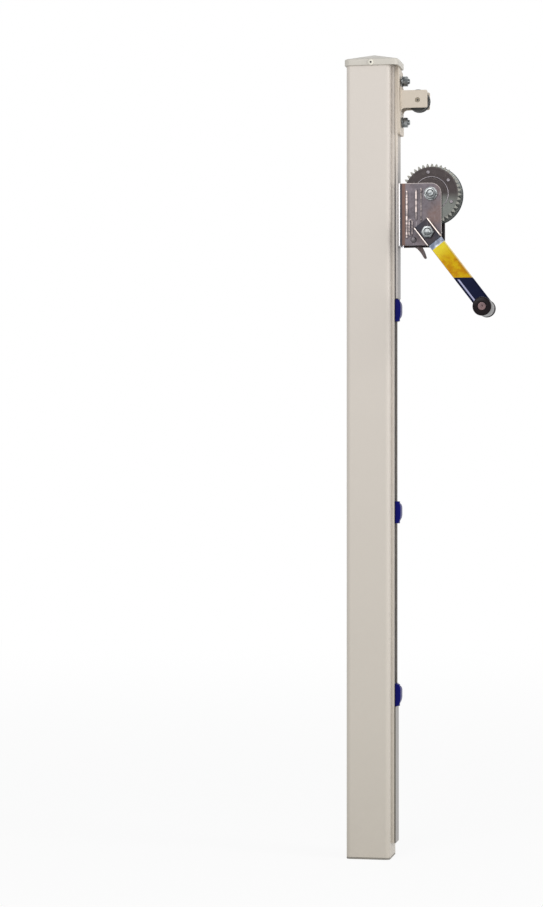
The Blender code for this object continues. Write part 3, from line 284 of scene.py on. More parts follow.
def inset(outline, amount):
    """A closed outline drawn in along its corner normals: each amount gives a ring."""
    step = np.roll(outline, -1, 0) - outline
    step /= np.linalg.norm(step, axis=1, keepdims=True)
    area = np.sum(outline[:, 0] * np.roll(outline[:, 1], -1) - np.roll(outline[:, 0], -1) * outline[:, 1])
    normal = join(-step[:, 1], step[:, 0]) * np.sign(area)
    before = np.roll(normal, 1, 0)
    spread = 1 + np.sum(normal * before, 1, keepdims=True)
    mitre = (normal + before) / np.maximum(spread, 0.4)
    return outline[None] + np.asarray(amount)[:, None, None] * mitre[None]


def raised(flat, height, normal):
    """Rings of flat points lifted along a plate's normal."""
    height = np.asarray(height)[:, None]
    u, v = flat[..., 0], flat[..., 1]
    return join(*{"X": (height, u, v), "Y": (u, height, v), "Z": (u, v, height)}[normal])


def slab(name, outline, low, high, edge, normal="Y"):
    """A plate with round edges: a quarter circle of inset and depth at both faces."""
    turn = quarter(4)
    depth = np.concatenate([[0], edge * (1 - np.cos(turn))])
    amount = np.concatenate([[edge + 0.0001], edge * (1 - np.sin(turn))])
    flat = inset(np.asarray(outline, float), np.concatenate([amount, amount[::-1]]))
    height = np.concatenate([low + depth, high - depth[::-1]])
    return shell(name, raised(flat, height, normal), caps=True)


def arc_points(u, v, radius, start, end, steps=10):
    turn = np.radians(np.linspace(start, end, steps + 1))
    return join(u + radius * np.cos(turn), v + radius * np.sin(turn))


def round_box(half_u, half_v, corner, centre=(0, 0), steps=9):
    """A rectangle with round corners and a guard point on each side of a corner."""
    guard = min(0.0006, corner / 4)
    u, v = half_u - corner, half_v - corner
    quarters = []
    for sign_u, sign_v, start in ((1, 1, 0), (-1, 1, 90), (-1, -1, 180), (1, -1, 270)):
        bend = arc_points(sign_u * u, sign_v * v, corner, start, start + 90, steps)
        lead = bend[1] - bend[0]
        tail = bend[-1] - bend[-2]
        first = bend[0] - guard * np.round(lead / np.linalg.norm(lead))
        last = bend[-1] + guard * np.round(tail / np.linalg.norm(tail))
        quarters += [first[None], bend, last[None]]
    return np.concatenate(quarters) + np.asarray(centre)


def apply_modifiers(name, mesh, *steps, cutters=()):
    """Run modifiers and round cutters on a mesh and return the finished mesh."""
    spare = [put(name + "_raw", mesh)] + [put(name + "_tool", cutter) for cutter in cutters]
    steps += tuple(("BOOLEAN", {"solver": "EXACT", "object": tool}) for tool in spare[1:])
    for kind, settings in steps:
        made = spare[0].modifiers.new(kind, kind)
        for key, value in settings.items():
            setattr(made, key, value)
    bpy.context.view_layer.update()
    graph = bpy.context.evaluated_depsgraph_get()
    done = bpy.data.meshes.new_from_object(spare[0].evaluated_get(graph))
    for used in spare:
        bpy.data.objects.remove(used)
    done.name = name
    return done


def bent_sheet(name, rows, thickness, edge, cutters=()):
    """Sheet metal from the rows of its middle surface, with its edges rounded off."""
    thick = ("SOLIDIFY", {"thickness": thickness, "offset": 0.0, "use_even_offset": True})
    edges = ("BEVEL", {"width": edge, "segments": 3, "limit_method": "ANGLE",
                       "angle_limit": math.radians(50)})
    return apply_modifiers(name, shell(name, rows, sheet=True), thick, edges, cutters=cutters)


def bore_tool(centre, radius, start, end, steps=48):
    """A round bar along Y that cuts a hole."""
    return turned("tool", centre, [(0, start), (radius, start), (radius, end), (0, end)], steps=steps)


def ease(value, low, high):
    """A smooth step from 0 at low to 1 at high: t squared times (3 - 2t)."""
    t = np.clip((value - low) / (high - low), 0, 1)
    return t * t * (3 - 2 * t)


# Shader maths

class Signal:
    """A socket of a node tree. Arithmetic on it adds Math nodes."""

    def __init__(self, nodes, socket):
        self.nodes = nodes
        self.socket = socket

    def math(self, operation, *others):
        return self.nodes.add("Math", {"operation": operation}, (self, *others))

    def __add__(self, other):
        return self.math("ADD", other)

    def __sub__(self, other):
        return self.math("SUBTRACT", other)

    def __rsub__(self, other):
        return self.nodes.add("Math", {"operation": "SUBTRACT"}, (other, self))

    def __mul__(self, other):
        return self.math("MULTIPLY", other)

    def __truediv__(self, other):
        return self.math("DIVIDE", other)

    def __pow__(self, other):
        return self.math("POWER", other)

    def __abs__(self):
        return self.math("ABSOLUTE")

    __radd__ = __add__
    __rmul__ = __mul__

    def at_most_one(self):
        return self.math("MINIMUM", 1.0)

    def eased(self, low, high, start=0.0, end=1.0):
        """Smooth step from start to end between two values of this signal."""
        values = (self, low, high, start, end)
        return self.nodes.add("MapRange", {"interpolation_type": "SMOOTHSTEP"}, values)


class Nodes:
    """The node tree of a material or a world."""

    def __init__(self, owner):
        owner.use_nodes = True
        self.tree = owner.node_tree

    def add(self, kind, settings=(), values=(), output=0):
        """Any node: its settings first, then the values or links of its sockets."""
        node = self.tree.nodes.new("ShaderNode" + kind)
        for name, value in dict(settings).items():
            setattr(node, name, value)
        pairs = values.items() if isinstance(values, dict) else enumerate(values)
        for key, value in pairs:
            if isinstance(value, Signal):
                self.tree.links.new(value.socket, node.inputs[key])
            else:
                node.inputs[key].default_value = value
        return Signal(self, node.outputs[output])

    def own(self, name, values=()):
        """A node that came with the tree, with values set on its own sockets."""
        node = self.tree.nodes[name]
        for socket, value in dict(values).items():
            node.inputs[socket].default_value = value
        return node

    def seen_as(self, own, bright, strength):
        """Show a bright shader over the own one, to camera, glossy and transmitted rays."""
        path = self.add("LightPath").socket.node
        camera, glossy, through = (Signal(self, path.outputs["Is %s Ray" % kind])
                                   for kind in ("Camera", "Glossy", "Transmission"))
        share = camera.math("MAXIMUM", glossy).math("MAXIMUM", through) * strength
        mixed = self.add("MixShader", values=(share, Signal(self, own.outputs[0]), bright))
        self.tree.links.new(mixed.socket, self.tree.get_output_node("ALL").inputs["Surface"])


class Finish(Nodes):
    """A node material round one Principled shader, read on Object coordinates."""

    def __init__(self, name, uniform=()):
        self.material = bpy.data.materials.new(name)
        super().__init__(self.material)
        self.shader = self.own("Principled BSDF", uniform)
        self.place = self.add("TexCoord", output="Object")

    def set(self, socket, signal):
        self.tree.links.new(signal.socket, self.shader.inputs[socket])

    def axes(self):
        split = self.add("SeparateXYZ", values=(self.place,))
        return [Signal(self, socket) for socket in split.socket.node.outputs]

    def noise(self, scale, detail=2.0, roughness=0.5, stretch=None):
        """Noise from 0 to 1 on Object coordinates, drawn out by a stretch of (x, y, z)."""
        place = self.place
        if stretch:
            place = self.add("Mapping", values={"Vector": place, "Scale": stretch})
        values = {"Vector": place, "Scale": scale, "Detail": detail, "Roughness": roughness}
        return self.add("TexNoise", values=values)

    def rings(self, radius, scale, detail):
        """Noise that changes with a radius only, as a lathe leaves it."""
        values = {"W": radius, "Scale": scale, "Detail": detail}
        return self.add("TexNoise", {"noise_dimensions": "1D"}, values)

    def mix(self, share, first, second):
        """A colour between two, by a share from 0 to 1."""
        first = (*first, 1) if isinstance(first, tuple) else first
        second = (*second, 1) if isinstance(second, tuple) else second
        return self.add("Mix", {"data_type": "RGBA"}, {0: share, 6: first, 7: second}, 2)

    def ground(self, share, first, second):
        """Give the surface the colour between two, by a share from 0 to 1."""
        self.colour = self.mix(share, first, second)
        self.set("Base Color", self.colour)

    def layer(self, share, colour):
        """Lay a colour over the surface, by a share from 0 to 1."""
        self.ground(share, self.colour, colour)

    def done(self, roughness, height, distance, strength):
        """Give the surface its roughness and a bump, and hand the finish over."""
        bump = {"Height": height, "Distance": distance, "Strength": strength}
        self.set("Roughness", roughness)
        self.set("Normal", self.add("Bump", values=bump))
        return self

    def round_axis(self, centre):
        """Distance from an axis that runs along Y."""
        x, _, z = self.axes()
        return ((x - centre[0]) ** 2 + (z - centre[1]) ** 2).math("SQRT")

    def arm_axes(self):
        """Distances along and across the crank arm, from the crank shaft."""
        x, _, z = self.axes()
        x, z = x - CRANK[0], z - CRANK[1]
        return x * ARM_RUN + z * ARM_RISE, z * ARM_RUN - x * ARM_RISE


def painted(name, high=(0.650, 0.598, 0.546), foot=(0.545, 0.503, 0.425)):
    """Warm grey powder coat: orange peel, soft clouds, painted shade darkening it towards the foot, and a
    little dust at the foot.
    """
    coat = Finish(name, {"Specular IOR Level": 0.35})
    z = coat.axes()[2]
    cloud = coat.noise(7, 4, 0.55)
    coat.ground(cloud, tuple(0.96 * part for part in high), tuple(1.03 * part for part in high))
    # Painted shade: the coat grows darker from 1.4 m down to the foot.
    coat.layer((1 - z.eased(-0.1, 1.4)) * 0.6, foot)
    dust = (1 - (z + cloud * 0.10).eased(0.03, 0.30)) * coat.noise(45, 5, 0.7)
    coat.layer(dust * 0.30, (0.42, 0.38, 0.32))
    coat.layer(coat.noise(1500, 1).eased(0.62, 0.72) * 0.10, (0.45, 0.42, 0.38))
    return coat.done(0.36 + cloud * 0.12, coat.noise(620, 2), 0.00012, 0.35)


def screw_paint(node, tone=(0.80, 0.77, 0.68)):
    """Paint on a screw or pin head, with painted shade in its socket or centre dimple."""
    coat = painted(node + "_paint", tone, tone)
    radius = coat.round_axis(middle_of(node))
    # Painted shade inside the socket or dimple.
    coat.layer(1 - radius.eased(0.0016, 0.0022), (0.055, 0.050, 0.045))
    return coat


def rail_paint():
    """The post's coat on the rail, with painted shade on its face and in its slot below the bar."""
    coat = painted("rail_powder_coat")
    x, y, z = coat.axes()
    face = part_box("hook_rail")[1].x
    bar_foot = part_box("upper_mount_bar")[0].z
    # Painted shade on the face and inside the slot, below the bar.
    inside = x.eased(face - 0.0048, face - 0.0038) * (1 - abs(y).eased(0.0178, 0.0186))
    dark = x.eased(face - 0.0006, face - 0.0001).math("MAXIMUM", inside)
    coat.layer(dark * (1 - z.eased(bar_foot - 0.002, bar_foot)) * 0.88, (0.090, 0.080, 0.072))
    return coat


def bar_metal(name, low, high):
    """Satin aluminium of bar and cover: die lines along Z, a painted highlight on the net-side face and dull
    patches.

    From 1.2 m up it turns pale beige and less metallic, more and more.
    """
    metal = Finish(name, {"Specular IOR Level": 0.35})
    x, _, z = metal.axes()
    cloud = metal.noise(30, 4, 0.6, (1, 1, 0.3))
    lines = metal.noise(900, 2, 0.5, (1, 1, 0.004))
    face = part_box("lower_slot_cover")[1].x
    metal.ground(cloud, low, high)
    # Painted highlight: the net-side faces are painted paler than the sides.
    metal.layer(x.eased(face - 0.0004, face) * 0.6, (0.44, 0.42, 0.41))
    metal.layer(lines.eased(0.45, 0.75) * 0.08, (0.24, 0.23, 0.22))
    # Pale beige and less metallic from 1.2 m up, rising with height.
    coat = (z + cloud * 0.06).eased(1.215, 1.46)
    metal.layer(coat, (0.600, 0.535, 0.455))
    metal.set("Metallic", 1 - coat)
    return metal.done(0.34 + cloud * 0.16, lines, 0.00004, 0.4)


def zinc_sheet(name="zinc_plated_sheet", low=(0.048, 0.042, 0.047), high=(0.108, 0.093, 0.104)):
    """Zinc plated sheet: mauve grey clouds, small spangles, rolling lines and handling marks."""
    zinc = Finish(name, METAL)
    cloud = zinc.noise(38, 4, 0.6)
    warm = zinc.noise(22, 3, 0.5, (1, 1, 0.6))
    spangle = zinc.add("TexVoronoi", values={"Vector": zinc.place, "Scale": 260}, output="Color")
    tone = zinc.add("SeparateColor", values=(spangle,))
    lines = zinc.noise(120, 3, 0.6, (1, 1, 0.04))
    marks = zinc.noise(420, 2, 0.5, (1, 1, 0.1)).eased(0.66, 0.72)
    zinc.ground(cloud.eased(0.25, 0.75), low, high)
    zinc.layer(warm.eased(0.48, 0.70) * 0.5, (0.125, 0.078, 0.062))
    zinc.layer(tone * 0.12, (0.27, 0.26, 0.29))
    zinc.layer(marks * 0.25, (0.40, 0.39, 0.41))
    return zinc.done(0.24 + cloud * 0.18 + tone * 0.06, lines + tone * 0.25, 0.00005, 0.4)


def frame_zinc():
    """The frame's sheet: painted highlights on the bends, the pressed marks and the edges, with painted shade
    in bands beside each bend.
    """
    zinc = zinc_sheet("zinc_frame_sheet")
    x, y, z = zinc.axes()
    start = MOUNT_FACE
    wander = x + zinc.noise(55, 3, 0.6, (1, 1, 0.25)) * 0.003
    # Painted shade beside the bend: brown further out, darker close to it.
    beside = wander.eased(start + 0.0050, start + 0.0062)
    zinc.layer(beside * (1 - wander.eased(start + 0.014, start + 0.017)) * 0.85, (0.105, 0.062, 0.048))
    shade = x.eased(start + 0.0046, start + 0.0054) * (1 - wander.eased(start + 0.0085, start + 0.0112))
    zinc.layer(shade * 0.9, (0.022, 0.026, 0.034))
    # Painted highlight on the pressed marks that stand out of the near side, broken into dots.
    raised_highlight = 1 - y.eased(-FRAME_OUTSIDE - 0.0007, -FRAME_OUTSIDE - 0.0002)
    beads = zinc.noise(210, 2, 0.5, (0.2, 0.2, 1)).eased(0.40, 0.58)
    zinc.layer(raised_highlight * (0.25 + beads * 0.75), (0.56, 0.48, 0.46))
    # Painted highlight on the bend.
    zinc.layer(1 - x.eased(start + 0.0044, start + 0.0050), (0.84, 0.84, 0.87))
    # Painted highlight along the sheet's edges.
    side, top = DRUM[0] + FRAME_MARGIN, DRUM[1] + FRAME_MARGIN
    upper = z.math("GREATER_THAN", DRUM[1]) * x.math("GREATER_THAN", DRUM[0])
    corner = zinc.round_axis(DRUM).eased(FRAME_MARGIN - 0.0012, FRAME_MARGIN - 0.0004)
    rim = x.eased(side - 0.0011, side - 0.0004) + upper * corner + z.eased(top - 0.0012, top - 0.0004)
    zinc.layer(rim.at_most_one() * 0.55, (0.45, 0.41, 0.39))
    return zinc


def saddle_zinc():
    """The clamp's sheet: dark floor, brownish-gold upper flange, with a painted highlight along the near
    edges of both flanges.
    """
    zinc = zinc_sheet("zinc_clamp_sheet", (0.026, 0.026, 0.032), (0.070, 0.066, 0.076))
    _, across = zinc.arm_axes()
    zinc.layer(0.7, (0.017, 0.018, 0.026))
    zinc.layer(across.eased(0.0128, 0.0140), (0.330, 0.205, 0.105))
    # Painted highlight along the near edges of the flanges.
    edge = 1 - zinc.axes()[1].eased(-0.0578, -0.0560)
    zinc.layer((edge * (0.55 + zinc.noise(160, 3) * 0.6)).at_most_one(), (0.78, 0.70, 0.66))
    return zinc


def gear_steel(name, centre, worn, raised_marks=None):
    """Dark zinc with grease in the valleys and bright teeth past a worn radius.

    Past raised_marks, a place along Y, pressed marks get a painted highlight, and a painted highlight sweeps
    round as a gleam.
    """
    steel = Finish(name, METAL)
    radius = steel.round_axis(centre)
    cloud = steel.noise(60, 4, 0.6)
    lathe = steel.rings(radius, 900, 3)
    steel.ground(cloud, (0.020, 0.017, 0.017), (0.056, 0.047, 0.048))
    steel.layer(lathe.eased(0.5, 0.75) * 0.2, (0.13, 0.12, 0.125))
    tips = radius.eased(worn, worn + 0.0022) * (0.55 + cloud * 0.45)
    steel.layer(tips, (0.215, 0.215, 0.195))
    if raised_marks:
        x, y, z = steel.axes()
        # Painted highlight on the pressed marks that stand proud of the face.
        proud = 1 - y.eased(raised_marks - 0.0004, raised_marks - 0.0001)
        steel.layer(proud * 0.8, (0.27, 0.25, 0.27))
        # Painted highlight sweeping round the face at GLEAM_TURN.
        gleam_highlight = ((x - centre[0]) / radius * math.cos(GLEAM_TURN)
                 + (z - centre[1]) / radius * math.sin(GLEAM_TURN)).eased(0.55, 1.0)
        steel.layer(gleam_highlight * (1 - tips) * (1 - proud) * 0.6, (0.155, 0.170, 0.158))
    grease = steel.noise(150, 3, 0.6).eased(0.56, 0.68)
    steel.layer(grease * 0.5, (0.045, 0.040, 0.038))
    return steel.done(0.30 + cloud * 0.18 - grease * 0.12, lathe, 0.00004, 0.4)


def flange_steel():
    """The drum: light zinc on the flange behind the teeth, with painted shade round its rolled rim."""
    steel = Finish("drum_flange_zinc", METAL)
    cloud = steel.noise(60, 4, 0.6)
    steel.ground(cloud, (0.270, 0.290, 0.280), (0.420, 0.440, 0.425))
    # Painted shade round the rolled rim.
    steel.layer(steel.round_axis(DRUM).eased(0.0522, 0.0530), (0.030, 0.036, 0.042))
    return steel.done(0.30 + cloud * 0.18, cloud, 0.00005, 0.4)


def bolt_zinc():
    """Bright zinc of bolts and nuts, slightly green, with fine scratches."""
    zinc = Finish("bolt_zinc_plate", METAL)
    cloud = zinc.noise(170, 4, 0.6)
    scratch = zinc.noise(900, 2, 0.5, (0.1, 1, 1)).eased(0.62, 0.70)
    zinc.ground(cloud.eased(0.30, 0.70), (0.100, 0.112, 0.118), (0.340, 0.356, 0.362))
    zinc.layer(scratch * 0.4, (0.60, 0.61, 0.63))
    return zinc.done(0.22 + cloud * 0.16, cloud + scratch * 0.3, 0.00006, 0.35)


def hook_plastic():
    """Glossy royal blue moulding with faint flow marks and light scuffs."""
    blue = Finish("hook_blue_plastic", {"Specular IOR Level": 0.05})
    flow = blue.noise(90, 3, 0.5, (1, 1, 0.25))
    scuff = blue.noise(700, 3, 0.6, (1, 1, 0.2)).eased(0.64, 0.72)
    blue.ground(flow, (0.0032, 0.0042, 0.095), (0.0070, 0.0085, 0.150))
    blue.layer(scuff * 0.25, (0.03, 0.04, 0.26))
    return blue.done(0.24 + flow * 0.12 + scuff * 0.2, blue.noise(380, 2), 0.00008, 0.3)


def arm_paint():
    """Yellow and dark blue paint with a pale stripe, bare steel at root, tip and chips, and a painted
    highlight and painted shade along the upper and lower edges.
    """
    paint = Finish("crank_arm_paint", {"Specular IOR Level": 0.06})
    along, across = paint.arm_axes()
    cloud = paint.noise(75, 4, 0.6)
    height = paint.axes()[2] + cloud * 0.0006
    yellow = paint.mix(cloud.eased(0.38, 0.64), (0.610, 0.390, 0.004), (0.500, 0.225, 0.003))
    yellow = paint.mix((1 - along.eased(0.034, 0.062)) * 0.85, yellow, (0.780, 0.650, 0.040))
    # Painted highlight along the arm's upper edge, then painted shade along its lower edge.
    yellow = paint.mix(across.eased(0.0112, 0.0126) * 0.55, yellow, (0.860, 0.740, 0.420))
    yellow = paint.mix((1 - across.eased(-0.0136, -0.0124)) * 0.6, yellow, (0.360, 0.240, 0.120))
    blue = paint.mix(cloud, (0.0034, 0.0044, 0.020), (0.0062, 0.0105, 0.044))
    paint.ground(height.eased(1.0533, 1.0538), blue, yellow)
    stripe = across.eased(-0.0104, -0.0100) * (1 - across.eased(-0.0076, -0.0072))
    stripe = stripe * (1 - along.eased(0.1540, 0.1545)) * (1 - height.eased(1.0500, 1.0504))
    paint.layer(stripe, (0.42, 0.43, 0.62))
    chip = paint.noise(260, 4, 0.7).eased(0.66, 0.70) * abs(across).eased(0.0131, 0.0139)
    from_end = ((along - CRANK_LENGTH) ** 2 + across ** 2).math("SQRT")
    tip = along.eased(CRANK_LENGTH - 0.006, CRANK_LENGTH - 0.005) * (1 - from_end.eased(0.0118, 0.0122))
    root = 1 - (along + cloud * 0.002).eased(0.0315, 0.0322)
    bare = (root + tip + chip * 0.8).at_most_one()
    steel = paint.mix(cloud.eased(0.35, 0.65), (0.17, 0.20, 0.27), (0.62, 0.66, 0.76))
    paint.layer(bare, paint.mix(tip, steel, (0.62, 0.60, 0.58)))
    paint.set("Metallic", bare)
    return paint.done(0.26 + cloud * 0.14 + bare * 0.04, paint.noise(500, 2), 0.00008, 0.3)


def grip_rubber():
    """Black grip, rubbed smooth, so its side mirrors the floor where it is seen flat on."""
    rubber = Finish("grip_rubber_black", {"Specular IOR Level": 0.10})
    cloud = rubber.noise(50, 4, 0.6)
    rubber.ground(cloud, (0.0065, 0.0040, 0.0052), (0.014, 0.009, 0.011))
    return rubber.done(0.16 + cloud * 0.14, rubber.noise(1400, 3, 0.6), 0.00005, 0.25)


def plug_plastic():
    """Matt grey moulding of the base plug."""
    plug = Finish("plug_grey_plastic", {"Specular IOR Level": 0.30})
    cloud = plug.noise(40, 4, 0.6)
    plug.ground(cloud, (0.230, 0.215, 0.190), (0.320, 0.300, 0.265))
    return plug.done(0.45 + cloud * 0.2, plug.noise(900, 2), 0.0001, 0.4)


def pulley_nylon():
    """Dark grey turned nylon with tool rings, rubbed paler in the groove."""
    nylon = Finish("pulley_grey_nylon", {"Specular IOR Level": 0.30})
    radius = nylon.round_axis(PULLEY)
    cloud = nylon.noise(120, 3, 0.6)
    nylon.ground(cloud, (0.026, 0.027, 0.026), (0.055, 0.056, 0.054))
    nylon.layer((1 - radius.eased(0.0155, 0.0195)) * 0.4, (0.11, 0.11, 0.105))
    return nylon.done(0.40 + cloud * 0.15, nylon.rings(radius, 1800, 2), 0.00006, 0.5)


def bush_bronze():
    """Sintered bronze with dark pores."""
    bronze = Finish("bush_sintered_bronze", METAL)
    cloud = bronze.noise(200, 4, 0.6)
    pores = bronze.noise(2600, 2).eased(0.60, 0.68)
    bronze.ground(cloud, (0.42, 0.27, 0.12), (0.62, 0.43, 0.21))
    bronze.layer(pores * 0.6, (0.10, 0.06, 0.03))
    return bronze.done(0.32 + cloud * 0.15, pores, 0.00004, 0.5)


FINISHES = {
    "post_paint": painted("post_powder_coat"),
    "winch_zinc": zinc_sheet(),
    "gear_steel": gear_steel("drum_gear_steel", DRUM, 0.0480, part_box("drum_gear")[0].y),
    "fastener_zinc": bolt_zinc(),
    "hook_plastic": hook_plastic(),
    "arm_paint": arm_paint(),
    "grip_rubber": grip_rubber(),
    "plug_plastic": plug_plastic(),
    "pulley_nylon": pulley_nylon(),
    "bush_bronze": bush_bronze()}
CRANK_GEARS = gear_steel("crank_gear_steel", CRANK, 0.0155)
CAP_PAINT = painted("cap_powder_coat", (0.592, 0.562, 0.505))
BRACKET_PAINT = painted("bracket_powder_coat", (0.585, 0.515, 0.430))
AXLE_PAINT = screw_paint("pulley_axle", (0.340, 0.290, 0.215))
RAIL_PAINT = rail_paint()
BAR_METAL = bar_metal("bar_satin_aluminium", (0.022, 0.019, 0.020), (0.044, 0.040, 0.041))
COVER_METAL = bar_metal("cover_satin_aluminium", (0.105, 0.096, 0.080), (0.165, 0.155, 0.130))
FRAME_ZINC = frame_zinc()
SADDLE_ZINC = saddle_zinc()
FLANGE_STEEL = flange_steel()
RIVET_ZINC = zinc_sheet("zinc_rivet", (0.055, 0.050, 0.055), (0.115, 0.104, 0.108))
PAWL_ZINC = zinc_sheet("zinc_pawl", (0.024, 0.022, 0.023), (0.066, 0.060, 0.062))
PIN_STEEL = zinc_sheet("grip_pin_steel", (0.085, 0.050, 0.052), (0.170, 0.110, 0.108))


# Post

def square_turned(profile):
    """A profile of (half side, corner, height) carried round a square with round corners."""
    flats = [round_box(half, half, corner) for half, corner, _ in profile]
    return raised(np.stack(flats), [height for _, _, height in profile], "Z")


def build_tube():
    """The tube's wall: out from the lower end, up, in and down again."""
    low, high = (corner.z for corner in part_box("post_tube"))
    inside = TUBE_HALF - TUBE_WALL
    wall = rounded([(TUBE_HALF, low), (TUBE_HALF, high), (inside, high), (inside, low)], 0.0005)
    profile = [(half, TUBE_CORNER - TUBE_HALF + half, height) for half, height in wall]
    fit(shell("post_tube_wall", square_turned(profile), wrap=True), "post_tube")


def build_plug():
    """A flange under the tube with a hollow spigot inside it."""
    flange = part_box("post_tube")[0].z - SEAT
    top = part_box("base_plug")[1].z
    out = TUBE_HALF - TUBE_WALL - SEAT
    line = rounded_profile([(0, 0), (TUBE_HALF, 0), (TUBE_HALF, flange), (out, flange), (out, top),
                            (out - 0.004, top), (out - 0.004, flange), (0, flange)], 0.0006)
    profile = [(max(0.0004, half), max(0.0001, TUBE_CORNER - TUBE_HALF + half), height)
               for half, height in line]
    fit(shell("base_plug_moulding", square_turned(profile), caps=True), "base_plug")


def build_cap():
    """A skirt over the tube, rail and bar, and a low crowned pyramid.

    Above the rim, height = rise x (1 - share) ^ 0.96 for a share of the half side.
    """
    low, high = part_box("top_cap")
    middle = (low.x + high.x) / 2
    longer = (high.x - low.x - high.y + low.y) / 2
    half, inside = high.y, high.y - CAP_WALL
    corner = TUBE_CORNER + SEAT + CAP_WALL
    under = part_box("post_tube")[1].z + SEAT
    rim = under + CAP_RIM
    soft, eave = 0.0011, rim + 0.0001
    ceiling = [(0.0004, under), (half * 0.5, under), (inside - 0.0006, under)]
    wall = [(inside, under - 0.0006), (inside, low.z + 0.0004), (inside + 0.0004, low.z)]
    wall += [(half - soft + soft * math.sin(t), low.z + soft * (1 - math.cos(t)) * 0.7) for t in quarter(6)]
    wall += [(half, rim - 0.0016)]
    wall += [(half - soft + soft * math.cos(t), rim - soft + soft * math.sin(t)) for t in quarter(6)]
    roof = [(half * share, eave + (high.z - eave) * (1 - share) ** 0.96)
            for share in np.linspace(0.955, 0.006, 24)]
    profile = ceiling + wall + roof
    flats = [cap_ring(ring, corner - half, longer, middle) for ring, _ in profile]
    rings = raised(np.stack(flats), [height for _, height in profile], "Z")
    fit(shell("top_cap_pressing", rings, caps=True), "top_cap", finish=CAP_PAINT)


def cap_ring(half, less, longer, middle):
    """One oblong ring of the cap: its corner shrinks with it, and so does its extra length."""
    full = CAP_WALL + TUBE_HALF
    share = min(1, half / full)
    corner = max(0.0001, less + half if share > 0.9 else (less + full) * share)
    return round_box(half + longer * share, half, corner, (middle, 0))


def cap_screw(node, side):
    """A button head with a round recess, turned about Y on one side of the post."""
    seat, dome, tip = (side * place for place in (TUBE_HALF + SEAT + CAP_WALL + SEAT, 0.0460, 0.0278))
    head_radius, shank_radius = 0.0052, 0.0024
    recess = [(0, dome - side * 0.0013), (0.0019, dome - side * 0.0013), (0.0020, dome - side * 0.0001)]
    head = [(0.0021 + (head_radius - 0.0021) * math.sin(t), seat + (dome - seat) * math.cos(t) ** 0.8)
            for t in quarter(9)]
    shank = [(head_radius, seat), (shank_radius, seat), (shank_radius, tip), (0, tip)]
    button = turned(node + "_button", middle_of(node), recess + head + shank, steps=48)
    fit(button, node, finish=screw_paint(node))


def build_post():
    build_tube()
    build_plug()
    build_cap()
    cap_screw("cap_screw_front", -1)
    cap_screw("cap_screw_rear", 1)


# Rail, bar, cover and hooks

def strip(node, ending, section, radius, finish):
    """A section of (x, y) with round corners, carried up the height of its node's box."""
    flat = rounded(section, radius)
    rings = raised(np.stack([flat, flat]), [corner.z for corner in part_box(node)], "Z")
    fit(shell(node + ending, rings, caps=True), node, finish=finish)


def build_strips():
    """The rail, the cover and the bar: rounded sections carried along Z."""
    rail_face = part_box("hook_rail")[1].x
    back, wall, half, mouth = TUBE_HALF + TIGHT, 0.0015, 0.020, 0.011
    inner = rail_face - wall
    strip("hook_rail", "_section", mirrored(
        [(back, -half), (rail_face, -half), (rail_face, -mouth), (inner, -mouth),
         (inner, wall - half), (back + wall, wall - half)]),
        [0.00015, 0.0003] + [0.0006] * 8 + [0.0003, 0.00015], RAIL_PAINT)
    low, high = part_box("lower_slot_cover")
    face, back, outside, inside = high.x, high.x - 0.0020, 0.0107, 0.0095
    strip("lower_slot_cover", "_strip",
          [(back, -half), (face, -half), (face, half), (back, half), (back, outside),
           (low.x, outside), (low.x, inside), (back, inside), (back, -inside), (low.x, -inside),
           (low.x, -outside), (back, -outside)], 0.0004, COVER_METAL)
    low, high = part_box("upper_mount_bar")
    back = rail_face + TIGHT
    strip("upper_mount_bar", "_flat", mirrored([(back, low.y), (high.x, low.y)]), 0.0003, BAR_METAL)


def build_hook(number):
    """A moulded hook, ring by ring along Z.

    The face follows a quarter ellipse at both ends, and the lip reaches less there.
    """
    node = "hook_%d" % number
    low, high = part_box(node)
    face, lip, slot, pad, neck = 0.0563, 0.0539, 0.0487, 0.0463, 0.0442
    shoe, waist, width = 0.0175, 0.0105, 0.0150
    turn = quarter(12)
    height = np.concatenate([low.z + 0.017 * (1 - np.cos(turn)), (high.z - 0.013 * (1 - np.cos(turn)))[::-1]])
    drop = np.concatenate([0.0070 * (1 - np.sin(turn)), 0.0055 * (1 - np.sin(turn))[::-1]])
    radii = [0.0004, 0.0004, 0.0003, 0.0003, 0.0008, 0.0022, 0.0011, 0.0009, 0.0012, 0.0012, 0.0010,
             0.0004, 0.0003, 0.0003, 0.0004, 0.0004]
    flats = []
    for front in face - drop:
        thick = max(front - lip, 0.0004)
        reach = 0.0233 * min(1, (thick - 0.0003) / 0.0024) ** 0.6 - waist
        line = [(low.x, -shoe), (neck, -shoe), (neck, -waist), (pad, -waist), (pad, -width),
                (front, -width), (lip + thick, reach), (lip, reach), (min(lip, front - 0.0003), -waist),
                (slot, -waist), (slot, width), (pad, width), (pad, waist), (neck, waist),
                (neck, shoe), (low.x, shoe)]
        flats.append(corner_arcs(np.array(line), radii))
    fit(shell(node + "_moulding", raised(np.stack(flats), height, "Z"), caps=True), node)


def build_rivets():
    """Four flush rivets, turned about X, that hold the rail on the tube."""
    head, shank, foot = 0.0040, 0.0024, 0.0034
    for number in range(1, 5):
        node = "rail_rivet_%d" % number
        low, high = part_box(node)
        centre = ((low.y + high.y) / 2, (low.z + high.z) / 2)
        profile = rounded_profile([(0, high.x), (head, high.x), (shank, 0.0403), (shank, 0.0367),
                                   (foot, 0.0367), (foot, low.x), (0, low.x)], 0.0003)
        fit(turned(node + "_flush", centre, profile, "X", steps=32), node)


def build_net_side():
    build_strips()
    build_rivets()
    for number in (1, 2, 3):
        build_hook(number)


# Fasteners

def level(*values):
    """One ring of equal numbers for each value."""
    return np.repeat(np.array(values, float)[:, None], ROUND_STEPS, 1)


